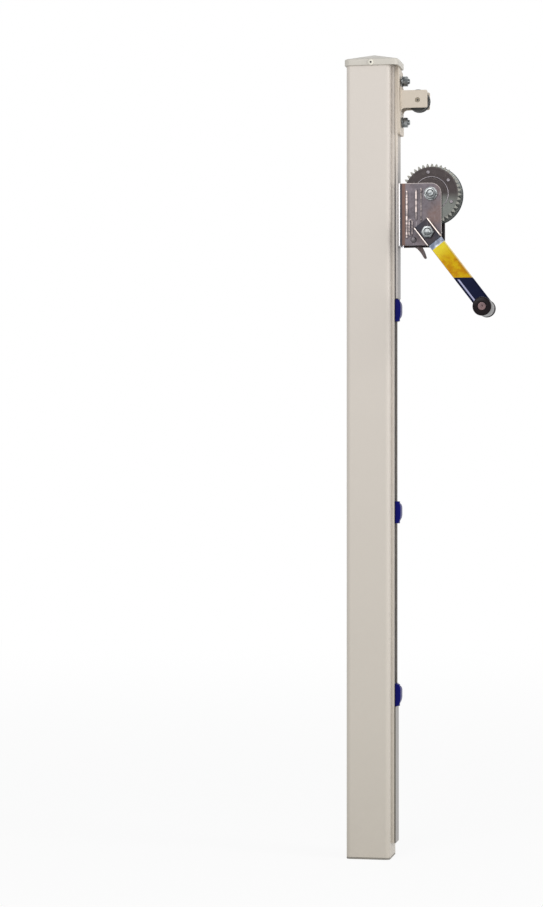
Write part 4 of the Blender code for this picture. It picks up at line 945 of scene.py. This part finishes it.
def hex_rings(across, start, end, inner):
    """Rings of a hexagon whose corners are turned off at 30 degrees at both faces.

    Distance to a side: half the width over cos of the turn from the flat.
    """
    angle = full_turn()
    reach = across / 2 / np.cos(angle % (math.pi / 3) - math.pi / 6)
    flat = 0.475 * across
    drop = (reach - flat) * math.copysign(math.tan(math.radians(30)), end - start)
    radius = np.vstack([level(inner, flat), reach, reach, level(flat, inner)])
    place = np.vstack([level(start, start), start + drop, end - drop, level(end, end)])
    return angle, radius, place


def hex_nut(node, axis, across, bore):
    """A hex nut with turned off corners and a chamfered bore."""
    centre, start, end = axis_place(node, axis)
    angle, radius, place = hex_rings(across, start, end, bore + 0.0007)
    radius = np.vstack([radius, level(bore, bore)])
    place = np.vstack([place, level(end - 0.0006, start + 0.0006)])
    fit(shell(node + "_hex", on_axis(axis, centre, radius, angle[None, :], place), wrap=True), node)


def axis_place(node, axis="Y"):
    """The middle of a node's box across an axis, and its start and end along it."""
    low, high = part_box(node)
    middle = (low + high) / 2
    if axis == "X":
        return (middle.y, middle.z), low.x, high.x
    return (middle.x, middle.z), low.y, high.y


def thread_rings(radius, pitch, start, end, fade=0.0009):
    """A screw thread: radius less a triangle wave of (place / pitch - angle / turn)."""
    angle = full_turn()
    place = np.linspace(start, end, max(8, int(abs(end - start) / pitch * 10)))
    wave = (place[:, None] / pitch - angle[None, :] / (2 * math.pi)) % 1
    depth = 0.55 * pitch * (1 - 2 * np.abs(wave - 0.5)) * 0.9
    root = ease(np.abs(place - start), 0, fade)[:, None]
    tip = ease(np.abs(end - place), 0, fade)[:, None]
    radius = radius - depth * root - 0.0006 * (1 - tip)
    return radius, np.broadcast_to(place[:, None], radius.shape)


def bolt(node, axis, across, radius, head, thread, pitch):
    """A hex head, a plain shank and a threaded end with a turned tip.

    A head below zero stands at the far end of the node's box.
    """
    centre, start, end = axis_place(node, axis)
    if head < 0:
        start, end = end, start
    angle, reach, place = hex_rings(across, start, start + head, 0)
    helix, helix_place = thread_rings(radius, pitch, end - math.copysign(thread, head), end)
    reach = np.vstack([reach[:5], level(radius), helix, level(0)])
    place = np.vstack([place[:5], level(start + head), helix_place, level(end)])
    fit(shell(node + "_hex", on_axis(axis, centre, reach, angle[None, :], place)), node)


def ring(node, bore, radius, edge=0.0005, ending="_ring", axis="Y", centre=None):
    """A washer, spacer or sleeve as long as its node's box."""
    middle, start, end = axis_place(node, axis)
    profile = ring_profile(bore, radius, start, end, edge)
    fit(turned(node + ending, centre or middle, profile, axis), node)


def build_fasteners():
    for tag in ("bracket_upper", "bracket_lower", "winch_upper", "winch_lower"):
        bolt(tag + "_bolt", "X", across=0.017, radius=0.005, head=0.0064, thread=0.018, pitch=0.0015)
        hex_nut(tag + "_nut", "X", across=0.017, bore=0.0053)
        ring(tag + "_washer", bore=0.0053, radius=0.010, axis="X")


# Pulley bracket

def cheek_line():
    """A cheek from the side, with fillets at its root and small round corners."""
    low, high, end = CHEEK_MIDDLE - 0.016, CHEEK_MIDDLE + 0.016, PULLEY[0] + 0.018
    root, fillet, corner = BRACKET_FACE, 0.008, 0.003
    back = root - 0.0020
    return np.concatenate([
        [(back, low - fillet)], arc_points(root + fillet, low - fillet, fillet, 180, 90),
        arc_points(end - corner, low + corner, corner, -90, 0, 6),
        arc_points(end - corner, high - corner, corner, 0, 90, 6),
        arc_points(root + fillet, high + fillet, fillet, 270, 180), [(back, high + fillet)]])


def build_bracket():
    """The bolted plate, its two cheeks and the weld beads between them.

    The plate's face slopes back by 4 mm over its upper 12 mm.
    """
    node, slope_height, slope_depth = "pulley_bracket", 0.012, 0.0040
    low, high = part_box(node)
    outline = round_box(0.025, (high.z - low.z) / 2, 0.006, (0, (low.z + high.z) / 2), 8)
    plate = slab("bracket_plate", outline, MOUNT_FACE, BRACKET_FACE, 0.0006, "X")
    place = np.zeros(len(plate.vertices) * 3)
    plate.vertices.foreach_get("co", place)
    place = place.reshape(-1, 3)
    slope = np.clip((place[:, 2] - (high.z - slope_height)) / slope_height, 0, 1)
    share = (place[:, 0] - MOUNT_FACE) / (BRACKET_FACE - MOUNT_FACE)
    place[:, 0] -= share * slope * slope_depth
    plate.vertices.foreach_set("co", place.ravel())
    fit(plate, node, finish=BRACKET_PAINT)
    for side, name in ((-1, "near_cheek"), (1, "far_cheek")):
        inner, outer = sorted((side * CHEEK_INSIDE, side * CHEEK_OUTSIDE))
        cheek = slab(name, cheek_line(), inner, outer, 0.0007)
        hole = bore_tool(PULLEY, 0.0045, -0.03, 0.03)
        fit(apply_modifiers(name, cheek, cutters=(hole,)), node, finish=BRACKET_PAINT)
        weld_bead(name + "_weld", side * CHEEK_OUTSIDE, side)


def weld_bead(name, across, side):
    """A fillet weld: a round bead whose radius ripples along its path up the plate."""
    half, proud, drop, wave = 0.0215, 0.0002, 0.0007, 0.0026
    height = np.linspace(CHEEK_MIDDLE - half, CHEEK_MIDDLE + half, 70)
    radius = 0.0017 + 0.00022 * np.sin(height * 2 * math.pi / wave) + 0.00010 * np.sin(height * 2600)
    radius *= np.sqrt(np.clip(1 - (np.abs(height - CHEEK_MIDDLE) / (half + 0.0001)) ** 8, 0, 1))
    angle = full_turn(20)
    x = BRACKET_FACE + proud + radius[:, None] * np.cos(angle)
    y = across + side * proud + radius[:, None] * np.sin(angle)
    z = height[:, None] + drop * np.sin(angle)[None, :]
    fit(shell(name, join(x, y, z), caps=True), finish=BRACKET_PAINT, like="pulley_bracket")


def build_pulley():
    """The wheel's groove is a squared cosine across the middle 16 mm."""
    half, rim, deep, lip, bore, dish = 0.012, 0.020, 0.0060, 0.0082, 0.0066, 0.0009
    across = np.linspace(lip, -lip, 25)
    groove = join(rim - deep * np.cos(math.pi * across / (2 * lip)) ** 2, across)
    side = rounded(mirrored([(bore, half), (0.0125, half), (0.0132, half - dish), (0.0172, half - dish),
                             (0.0179, half), (rim, half), (rim, lip + 0.0006)]), 0.0006)
    top = np.argmin(np.hypot(side[:, 0] - rim, side[:, 1] - lip - 0.0006))
    line = np.roll(side, -top - 1, 0)
    fit(turned("pulley_wheel_turned", PULLEY, np.vstack([groove, line])), "pulley_wheel")
    sleeve = ring_profile(0.0043, 0.0063, -half, half, 0.0003)
    fit(turned("pulley_bush_sleeve", PULLEY, sleeve), "pulley_bush")
    ring("pulley_spacer_near", bore=0.0043, radius=0.009)
    ring("pulley_spacer_far", bore=0.0043, radius=0.009)
    head, top, tip = 0.0203, 0.0223, -0.0190
    profile = rounded_profile([(0, top), (0.0065, top), (0.0065, head), (0.004, head), (0.004, -0.0196),
                               (0.0031, -0.0199), (0.0016, tip), (0, tip)],
                              (0, 0.0008, 0.0003, 0, 0.0002, 0.0004, 0.0002, 0), 4)
    fit(turned("pulley_axle_pin", PULLEY, profile), "pulley_axle", finish=AXLE_PAINT)


# Winch frame

def frame_sheet():
    """The middle of the bent sheet: columns along the U from above, rows up Z.

    Above the axle each row's side reaches x = axle + margin x cos(t) at
    z = axle + margin x sin(t), and the near side carries the pressed marks.
    """
    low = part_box("winch_frame")[0]
    corner, reach = 0.003, DRUM[0] + FRAME_MARGIN
    foot = arc_points(reach - corner, low.z + corner, corner, -90, 0, 8)
    body = join(reach, np.linspace(low.z + corner, DRUM[1], 66)[1:-1])
    head = arc_points(*DRUM, FRAME_MARGIN, 0, 90, 25)
    edge = np.concatenate([foot, body, head])
    middle = FRAME_SHEET / 2
    bend, side, wall = FRAME_BEND - middle, FRAME_OUTSIDE - FRAME_BEND, FRAME_OUTSIDE - middle
    start = MOUNT_FACE + FRAME_BEND
    share = np.concatenate([[0, 0.006], np.linspace(0.015, 0.985, 62), [0.994, 1]])
    run = edge[:, None, 0] + (start - edge[:, None, 0]) * share[None, :]
    arc = np.radians(np.linspace(0, 90, 9))[1:-1]
    flat = np.linspace(-side, side, 12)
    turn_x, turn_y = start - bend * np.sin(arc), side + bend * np.cos(arc)
    base_x = np.concatenate([turn_x, np.full(len(flat), start - bend), turn_x[::-1]])
    x = np.hstack([run, np.tile(base_x, (len(edge), 1)), run[:, ::-1]])
    y = np.concatenate([np.full(len(share), -wall), -turn_y, flat, turn_y[::-1], np.full(len(share), wall)])
    y = np.tile(y, (len(edge), 1))
    z = np.tile(edge[:, 1:], (1, x.shape[1]))
    near = y <= -wall + SAME_PLACE
    return join(x, y - near * pressed(x, z), z)


def capsule(x, z, centre_x, low, high):
    """Distance from an upright line between two heights."""
    return np.hypot(x - centre_x, z - np.clip(z, low, high))


def pressed(x, z):
    """How far the near side stands out: a rib, an oblong groove in a lip, and a border."""
    foot, head = CRANK[1], DRUM[1]
    rib = 0.0009 * (1 - ease(capsule(x, z, 0.0695, foot - 0.007, head + 0.005), 0.0004, 0.0024))
    groove_at = capsule(x, z, 0.0765, foot - 0.001, foot + 0.0215)
    lip = 0.0006 * (1 - ease(np.abs(groove_at - 0.0030), 0.0002, 0.0013))
    groove = -0.0010 * (1 - ease(groove_at, 0.0008, 0.0024))
    border = 0.0006 * (1 - ease(capsule(x, z, 0.0958, head - 0.048, head + 0.009), 0.0002, 0.0013))
    line = 0.0009 * (1 - ease(capsule(x, z, 0.0868, head - 0.045, head + 0.006), 0.0005, 0.0021))
    return rib + lip + groove + border + line


def build_frame():
    holes = [bore_tool(DRUM, 0.0064, -0.04, 0.04), bore_tool(CRANK, 0.0096, -0.04, 0.04, steps=64),
             bore_tool(PAWL, 0.0036, -0.04, 0)]
    sheet = bent_sheet("winch_frame_sheet", frame_sheet(), FRAME_SHEET, 0.0006, holes)
    fit(sheet, "winch_frame", finish=FRAME_ZINC)


# Gears and drum

def involute(base, radius):
    rolled = np.sqrt(np.maximum((radius / base) ** 2 - 1, 0))
    return rolled - np.arctan(rolled)


def gear_outline(teeth, phase, flank=7):
    """Radius by angle of an involute gear, from the root up one flank and down the other."""
    pitch = MODULE * teeth / 2
    base = pitch * math.cos(PRESSURE_ANGLE)
    root, tip = pitch - 1.25 * MODULE, pitch + MODULE
    half = math.pi / (2 * teeth) - BACKLASH / (4 * pitch)
    reach = np.linspace(max(root, base), tip, flank)
    turn = half + involute(base, pitch) - involute(base, reach)
    if root < base:
        reach = np.concatenate([[root], reach])
        turn = np.concatenate([[turn[0] + 0.0005], turn])
    reach = np.concatenate([[root], reach, [tip]])
    turn = np.concatenate([[(turn[0] + math.pi / teeth) / 2], turn, [turn[-1] * 0.3]])
    angle = np.concatenate([-turn, turn[::-1]])
    radius = np.concatenate([reach, reach[::-1]])
    middle = phase + 2 * math.pi * np.arange(teeth) / teeth
    return (middle[:, None] + angle[None, :]).ravel(), np.tile(radius, teeth)


def toothed_profile(start, end, face, rear):
    """Rows of (radius, place, share) round a gear's section: face, teeth and rear.

    The teeth have a turned edge, and a guard row just inside it at both faces.
    """
    edge, guard = 0.0003, 0.00045
    turn = quarter(4)
    draw, depth = -edge * (1 - np.sin(turn)), edge * (1 - np.cos(turn))
    near = join(draw, start + depth, 1)
    far = join(draw, end - depth, 1)[::-1]
    return np.vstack([face, [[-guard, start, 1]], near, far, [[-guard, end, 1]], rear])


def bore_rows(bore, start, end, chamfer=0.0004):
    """Rows of a bore, from the rear of a toothed piece to its face."""
    return [[bore + chamfer, end, 0], [bore, end - chamfer, 0],
            [bore, start + chamfer, 0], [bore + chamfer, start, 0]]


def build_gear():
    """The drum gear: a raised ring and six round bosses pressed in its near face."""
    start, end = (corner.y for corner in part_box("drum_gear"))
    angle, reach = gear_outline(40, MESH_ANGLE)
    radii = np.concatenate([np.linspace(0.0100, 0.0290, 12), np.linspace(0.0295, 0.0324, 12),
                            np.linspace(0.0330, 0.0480, 26)])
    rear = [[0.047, end, 0]] + bore_rows(0.0086, start, end)
    rows = toothed_profile(start, end, join(radii, start, 0), rear)
    radius = rows[:, :1] + rows[:, 2:] * reach[None, :]
    place = np.repeat(rows[:, 1:2], len(angle), 1)
    place[:len(radii)] -= gear_relief(radius[:len(radii)], angle[None, :])
    mesh = shell("drum_gear_toothed", on_axis("Y", DRUM, radius, angle[None, :], place), wrap=True)
    fit(mesh, "drum_gear")


def gear_relief(radius, angle):
    """Raised heights on the gear's face: a ring ridge, and bosses on a circle."""
    ridge = 0.0006 * (1 - ease(np.abs(radius - 0.0310), 0.0003, 0.0011))
    turn = (angle - math.radians(38)) % (math.pi / 3)
    turn = np.minimum(turn, math.pi / 3 - turn)
    away = np.hypot(radius - 0.0396, 0.0396 * turn)
    boss = 0.0009 * (1 - ease(away, 0.0018, 0.0038))
    dish = -0.0005 * (1 - ease(away, 0.0, 0.0016))
    return ridge + boss + dish


def rivet_dome(radius, top, height):
    """Points of a rivet's head from the axis out, along a quarter ellipse."""
    return [(radius * math.sin(t), top + height * (1 - math.cos(t))) for t in quarter(7)]


def build_drum():
    """The core and far flange with a rolled rim, on the sleeve bearing."""
    _, start, end = axis_place("winch_drum")
    flange, core, bore = 0.0540, 0.0200, 0.0086
    face, dish = end - 0.0025, end - 0.0007
    line = rounded([(flange, end), (flange, face), (core, face), (core, start), (bore, start), (bore, end),
                    (0.0240, end), (0.0255, dish), (0.0430, dish), (0.0445, end)],
                   (0.0012, 0.0009, 0.0030, 0.0006, 0.0004, 0.0005, 0.0008, 0.0008, 0.0008, 0.0008), 5)
    fit(turned("winch_drum_turned", DRUM, line, steps=120), "winch_drum", finish=FLANGE_STEEL)
    ring("drum_bush", bore=0.0063, radius=0.0083, edge=0.0003, ending="_sleeve", centre=DRUM)
    head, shank = 0.0040, 0.0024
    for node in ("gear_rivet_1", "gear_rivet_2"):
        centre, top, tip = axis_place(node)
        under = top + 0.0011
        profile = rivet_dome(head, top, 0.00099) + [(head, under), (shank, under), (shank, tip), (0, tip)]
        fit(turned(node + "_dome", centre, profile, steps=32), node)


def build_axle():
    bolt("drum_axle", "Y", across=0.019, radius=0.006, head=-0.0075, thread=0.012, pitch=0.00175)
    hex_nut("drum_axle_nut", "Y", across=0.019, bore=0.0063)
    ring("drum_axle_washer", bore=0.0063, radius=0.0122)


# Crank shaft, pawl and spring

def build_shaft():
    """The stepped shaft, with a threaded stud under the crank nut."""
    _, end, start = axis_place("crank_shaft")
    collar, arm, stud = -0.0306, -0.0437, -0.0477
    plain = rounded_profile([(0, start), (0.007, start), (0.007, collar), (0.010, collar), (0.010, arm),
                             (0.006, arm), (0.006, stud), (0, stud)],
                            (0, 0.0006, 0.0001, 0.0005, 0.0004, 0, 0, 0))[:-2]
    helix, helix_place = thread_rings(0.006, 0.00175, stud, end)
    radius = np.vstack([level(*plain[:, 0]), helix, level(0)])
    place = np.vstack([level(*plain[:, 1]), helix_place, level(end)])
    mesh = shell("crank_shaft_turned", on_axis("Y", CRANK, radius, full_turn()[None, :], place))
    fit(mesh, "crank_shaft")
    build_pinion()
    ring("shaft_spacer", bore=0.0073, radius=0.0095, ending="_tube", centre=CRANK)
    build_clip()
    flange, sleeve, bore = 0.011, 0.0093, 0.0073
    for node, side in (("crank_bush_near", -1), ("crank_bush_far", 1)):
        outer, step, inner = side * 0.0300, side * 0.0283, side * 0.0250
        profile = rounded([(flange, outer), (flange, step), (sleeve, step),
                           (sleeve, inner), (bore, inner), (bore, outer)], 0.0004)
        fit(turned(node + "_flanged", CRANK, profile), node)


def build_pinion():
    """The pinion with its hub, and the saw toothed ratchet wheel beside it."""
    _, start, hub_end = axis_place("drive_pinion")
    face, tooth_end, hub, bore = 0.0120, -0.0177, 0.0095, 0.0073
    rear = [[hub + 0.0004, tooth_end, 0], [hub, tooth_end + 0.0002, 0], [hub, hub_end - 0.0004, 0],
            [hub - 0.0004, hub_end, 0]] + bore_rows(bore, start, hub_end)
    rows = toothed_profile(start, tooth_end, [[face, start, 0]], rear)
    outline = gear_outline(15, MESH_ANGLE + math.pi + math.pi / 15)
    fit(turned("drive_pinion_toothed", CRANK, rows, outline=outline), "drive_pinion", finish=CRANK_GEARS)
    _, start, end = axis_place("ratchet_wheel")
    face = 0.0115
    rows = toothed_profile(start, end, [[face, start, 0]], [[face, end, 0]] + bore_rows(bore, start, end))
    wheel = turned("ratchet_wheel_toothed", CRANK, rows, outline=ratchet_line())
    fit(wheel, "ratchet_wheel", finish=CRANK_GEARS)


def ratchet_line():
    """Radius by angle of the saw teeth: a slope out to each tip, then a radial face."""
    part = np.array([0.006, 0.2, 0.4, 0.6, 0.7, 1 - RATCHET_LAND, 0.93, 0.996])
    reach = np.interp(part, [0, 1 - RATCHET_LAND, 1], [RATCHET_ROOT, RATCHET_TIP, RATCHET_TIP])
    turn = 2 * math.pi / RATCHET_TEETH
    start = RATCHET_PHASE + turn * np.arange(RATCHET_TEETH)
    return (start[:, None] + turn * part[None, :]).ravel(), np.tile(reach, RATCHET_TEETH)


def build_clip():
    """A retaining ring with a gap: a flat section swept over 320 degrees.

    It swells by 4 % opposite the gap, held to its own outer radius.
    """
    _, start, end = axis_place("shaft_clip")
    inner, outer = 0.0074, 0.0105
    angle = np.radians(np.linspace(20, 340, 60)) - math.pi / 2
    section = rounded([(inner, start), (outer, start), (outer, end), (inner, end)], 0.0003)
    swell = 1 + 0.04 * np.cos(angle - math.pi / 2)
    radius = np.minimum(section[None, :, 0] * swell[:, None], outer)
    radius = np.maximum(radius, section[None, :, 0] * 0.98)
    rings = on_axis("Y", CRANK, radius, angle[:, None], section[None, :, 1])
    fit(shell("shaft_clip_ring", rings, caps=True), "shaft_clip")


def pawl_line():
    """The pawl's outline: nose up to the wheel and tail down, with softened turns.

    The nose lies along a tooth's radial face once the pawl has swung in.
    """
    tail = [(-0.0075, -0.0010), (-0.0078, -0.0080), (-0.0035, -0.0112), (0.0045, -0.0148),
            (0.0110, -0.0220), (0.0178, -0.0330), (0.0205, -0.0340), (0.0222, -0.0318)]
    back = [(0.0190, -0.0215), (0.0140, -0.0120), (0.0095, -0.0050), (0.0072, 0.0010),
            (0.0074, 0.0090), (0.0089, 0.0164)]
    crown = [(0.0054, 0.0190), (-0.0025, 0.0115), (-0.0068, 0.0036)]
    gap, swing, wheel = 0.0007, math.radians(8), (0.029, 0.012)
    nose = []
    for radius in (RATCHET_ROOT + gap, RATCHET_TIP):
        angle = RATCHET_PHASE + gap / radius
        u, v = wheel[0] + radius * math.cos(angle), wheel[1] + radius * math.sin(angle)
        nose.append((u * math.cos(swing) - v * math.sin(swing), u * math.sin(swing) + v * math.cos(swing)))
    radii = [0.004] * 5 + [0.0012] * 3 + [0.006] * 5 + [0.0005, 0.0004, 0.0004, 0.0016] + [0.004] * 2
    return rounded(tail + back + nose + crown, radii, 5) + np.array(PAWL)


def build_pawl():
    """The stamped pawl, and the rivet that it swings on."""
    name = "ratchet_pawl_stamping"
    _, start, end = axis_place("ratchet_pawl")
    hole = bore_tool(PAWL, 0.0035, start - 0.002, end + 0.002)
    stamping = apply_modifiers(name, slab(name, pawl_line(), start, end, 0.0004), cutters=(hole,))
    fit(stamping, "ratchet_pawl", finish=PAWL_ZINC)
    _, start, end = axis_place("pawl_pivot")
    head, shank, near, inner = 0.0055, 0.0032, -0.0283, end - 0.0015
    profile = rivet_dome(head, start, 0.0012) + [
        (head, near), (shank, near), (shank, inner), (head, inner), (head, end - 0.0004),
        (head - 0.0005, end), (0, end)]
    fit(turned("pawl_pivot_rivet", PAWL, profile, steps=48), "pawl_pivot", finish=RIVET_ZINC)
    build_spring()


def swept_tube(name, path, radius, around=12):
    """A round wire along a path, with its frame carried from point to point."""
    ahead = np.gradient(path, axis=0)
    ahead /= np.linalg.norm(ahead, axis=1, keepdims=True)
    up = np.cross(ahead, np.array([0.0, 1.0, 0.0]))
    up /= np.linalg.norm(up, axis=1, keepdims=True)
    side = np.cross(ahead, up)
    angle = full_turn(around)
    rings = path[:, None] + radius * (np.cos(angle)[None, :, None] * up[:, None]
                                      + np.sin(angle)[None, :, None] * side[:, None])
    return shell(name, rings, caps=True)


def build_spring():
    """A helix round the pivot with a straight leg along its tangent at each end."""
    wire, radius, turns, leg = 0.0005, 0.0043, 4.25, 0.007
    start, end = wire + SEAT - FRAME_INSIDE, -0.014 - wire - SEAT
    share = np.linspace(0, 1, 221)
    angle = 2 * math.pi * turns * share - math.pi / 2
    coil = on_axis("Y", PAWL, np.full(221, radius), angle, start + (end - start) * share)
    near = join(np.linspace(PAWL[0] - leg, PAWL[0], 15)[:-1], start, PAWL[1] - radius)
    far = join(PAWL[0] + radius, end, np.linspace(PAWL[1], PAWL[1] + leg, 15)[1:])
    fit(swept_tube("pawl_spring_wire", np.vstack([near, coil, far]), wire), "pawl_spring")


# Crank arm, saddle and grip

def along_arm(flat):
    """Points written along and across the arm, from the crank shaft."""
    a, b = flat[..., 0], flat[..., 1]
    return join(CRANK[0] + a * ARM_RUN - b * ARM_RISE, CRANK[1] + a * ARM_RISE + b * ARM_RUN)


def build_arm():
    """The arm: rings from its edge in to its middle line, front and back.

    The front face sinks by the recess inside the rim, from 24 mm along the arm.
    """
    tip = arc_points(CRANK_LENGTH, 0, ARM_HALF, -90, 90, 24)
    root = -arc_points(0, 0, ARM_HALF, -90, 90, 24)
    side = np.linspace(CRANK_LENGTH, 0, 60)[1:-1]
    outline = np.concatenate([tip, join(side, ARM_HALF), root, join(side[::-1], -ARM_HALF)])
    spine = join(np.clip(outline[:, 0], 0, CRANK_LENGTH), 0)
    edge, depth = 0.0006, ARM_FACE - ARM_FRONT
    turn = quarter(5)
    rim, fall = edge * (1 - np.sin(turn)), edge * (1 - np.cos(turn))
    inner = np.array([0.0008, 0.0012, 0.0016, 0.0019, 0.0022, 0.0025, 0.0028,
                      0.0045, 0.0075, 0.0110, ARM_HALF])
    front_in = np.concatenate([inner[::-1], rim])
    all_in = np.concatenate([front_in, rim[::-1], inner])
    all_y = np.concatenate([0 * inner, fall, depth - fall[::-1], 0 * inner + depth])
    draw = all_in[:, None, None] / ARM_HALF
    flat = outline[None] * (1 - draw) + spine[None] * draw
    place = np.repeat(all_y[:, None], len(outline), 1) + ARM_FRONT
    from_rim = np.concatenate([front_in, 0 * front_in])[:, None]
    sink = ARM_RECESS * ease(from_rim, ARM_RIM - 0.0002, ARM_RIM + 0.0009)
    place = place + sink * ease(flat[..., 0], 0.0235, 0.0260)
    flat = along_arm(flat)
    fit(shell("crank_arm_forging", join(flat[..., 0], place, flat[..., 1])), "crank_arm")


def build_saddle():
    """A sheet clamp: base, bends and flanges as one path carried along the arm.

    A flange's height falls off at its ends as the root of 1 - |x / 21.2 mm| ^ 14.
    """
    sheet, flange, bend = 0.002, 0.008, 0.0022
    middle = ARM_FRONT - SEAT - sheet / 2
    half = 0.0155 - sheet / 2
    along = np.concatenate([[-0.021, -0.0205], np.linspace(-0.0195, 0.0195, 30), [0.0205, 0.021]])
    round_end = np.clip(1 - np.abs(along / 0.0212) ** 14, 0, 1) ** 0.5
    side_height = np.linspace(flange + sheet / 2, bend, 8)
    turn = arc_points(half - bend, middle - bend, bend, 0, 90, 6)[1:]
    flat = join(np.linspace(half - bend, bend - half, 12)[1:-1], middle)
    rows = []
    for place, share in zip(along, round_end):
        rise = bend + (side_height - bend) * (0.45 + 0.55 * share)
        wall = join(half, middle - rise)
        path = np.concatenate([wall, turn, flat, turn[::-1] * (-1, 1), wall[::-1] * (-1, 1)])
        line = along_arm(join(place, path[:, 0]))
        rows.append(join(line[:, 0], path[:, 1], line[:, 1]))
    clamp = bent_sheet("crank_saddle_clamp", np.stack(rows), sheet, 0.0005)
    fit(clamp, "crank_saddle", finish=SADDLE_ZINC)
    hex_nut("crank_nut", "Y", across=0.020, bore=0.0063)


def build_grip():
    """A barrel between two collars: its radius swells by 0.8 mm x sin(pi x share)."""
    _, end, start = axis_place("crank_grip")
    share = np.linspace(0, 1, 60)
    body = join(0.0144 + 0.0010 * share + 0.0008 * np.sin(math.pi * share),
                start - 0.0052 + (end + 0.0068 - start + 0.0052) * share)
    neck = [(0.0043, start), (0.0146, start), (0.0153, start - 0.0005), (0.0157, start - 0.0016),
            (0.0157, start - 0.0026), (0.0154, start - 0.0037), (0.0148, start - 0.0043)]
    nose = [(0.0160, end + 0.0059), (0.0167, end + 0.0050), (0.0168, end + 0.0026), (0.0164, end + 0.0012),
            (0.0155, end + 0.0003), (0.0144, end), (0.0082, end), (0.0078, end + 0.0004),
            (0.0078, end + 0.0030), (0.0043, end + 0.0030)]
    fit(turned("crank_grip_moulding", GRIP, np.vstack([neck, body, nose]), steps=96), "crank_grip")
    ring("grip_washer", bore=0.0043, radius=0.011)
    _, top, back = axis_place("grip_pin")
    tail, head, centre = -0.0437, top + 0.003, top + 0.0009
    profile = rounded_profile([(0, back), (0.0065, back), (0.0065, tail), (0.004, tail), (0.004, head),
                               (0.0073, head), (0.0073, top), (0.0022, top), (0.0014, centre), (0, centre)],
                              (0, 0.0007, 0.0002, 0, 0, 0.0002, 0.0010, 0.0004, 0.0003, 0), 4)
    fit(turned("grip_pin_turned", GRIP, profile), "grip_pin", finish=PIN_STEEL)


def build_winch():
    build_frame()
    build_gear()
    build_drum()
    build_axle()
    build_shaft()
    build_pawl()
    build_arm()
    build_saddle()
    build_grip()


build_post()
build_net_side()
build_fasteners()
build_bracket()
build_pulley()
build_winch()
for node, thing in NODES.items():
    for carried in thing.material_slots:
        carried.material = FINISHES[SLOT_OF[node]].material


# Floor, lamps and camera

def build_world():
    """White to the camera, and a soft even light for the rest."""
    world = bpy.data.worlds.new("studio")
    bpy.context.scene.world = world
    nodes = Nodes(world)
    soft = nodes.own("Background", {"Color": (0.95, 0.97, 1.0, 1), "Strength": 0.56})
    nodes.seen_as(soft, nodes.add("Background", values={"Color": WHITE}), 1.0)


def build_floor():
    """A pale floor that the camera sees as near white, with the post's shadow kept.

    Its glow to the camera rises from 0.9 by the post to 1 from 5.5 m out.
    """
    far = 30
    mesh = bpy.data.meshes.new("floor")
    mesh.from_pydata([(-far, -far, 0), (far, -far, 0), (far, far, 0), (-far, far, 0)], [], [(0, 1, 2, 3)])
    pale = Finish("pale_floor", {"Base Color": (0.82, 0.82, 0.81, 1), "Roughness": 0.9,
                                 "Specular IOR Level": 0.0})
    away = pale.add("VectorMath", {"operation": "LENGTH"}, (pale.place,), "Value")
    glow = pale.add("Emission", values={"Color": WHITE})
    pale.seen_as(pale.shader, glow, away.eased(0.1, 5.5, 0.90, 1.0))
    mesh.materials.append(pale.material)
    put("floor", mesh)


def add_lamp(name, place, target, size, power):
    """A rectangular lamp that looks from its place to a target."""
    lamp = bpy.data.lights.new(name, "AREA")
    lamp.shape = "RECTANGLE"
    lamp.size, lamp.size_y = size
    lamp.energy = power
    lamp.color = (1.0, 0.985, 0.965)
    thing = put(name, lamp)
    thing.location = place
    thing.rotation_euler = (Vector(target) - Vector(place)).to_track_quat("-Z", "Y").to_euler()


def build_camera():
    """A level camera, a little to the net side, turned so that the post stands right of the middle."""
    distance, yaw, turn, height = 4.792, math.radians(8.68), math.radians(2.18), 0.7367
    camera = bpy.data.cameras.new("camera")
    camera.sensor_fit = "VERTICAL"
    camera.sensor_height = 36
    camera.lens = 103.88
    thing = put("camera", camera)
    thing.location = (distance * math.sin(yaw), -distance * math.cos(yaw), height)
    thing.rotation_euler = (math.pi / 2, 0, yaw + turn)
    bpy.context.scene.camera = thing


bpy.context.scene.view_settings.view_transform = "Standard"
build_world()
build_floor()
add_lamp("key_lamp", (-0.7, -3.2, 2.4), target=(0.0, 0, 0.85), size=(1.6, 1.8), power=42)
add_lamp("fill_lamp", (3.1, -1.05, 1.5), target=(0.05, 0, 0.8), size=(1.2, 2.0), power=46)
build_camera()
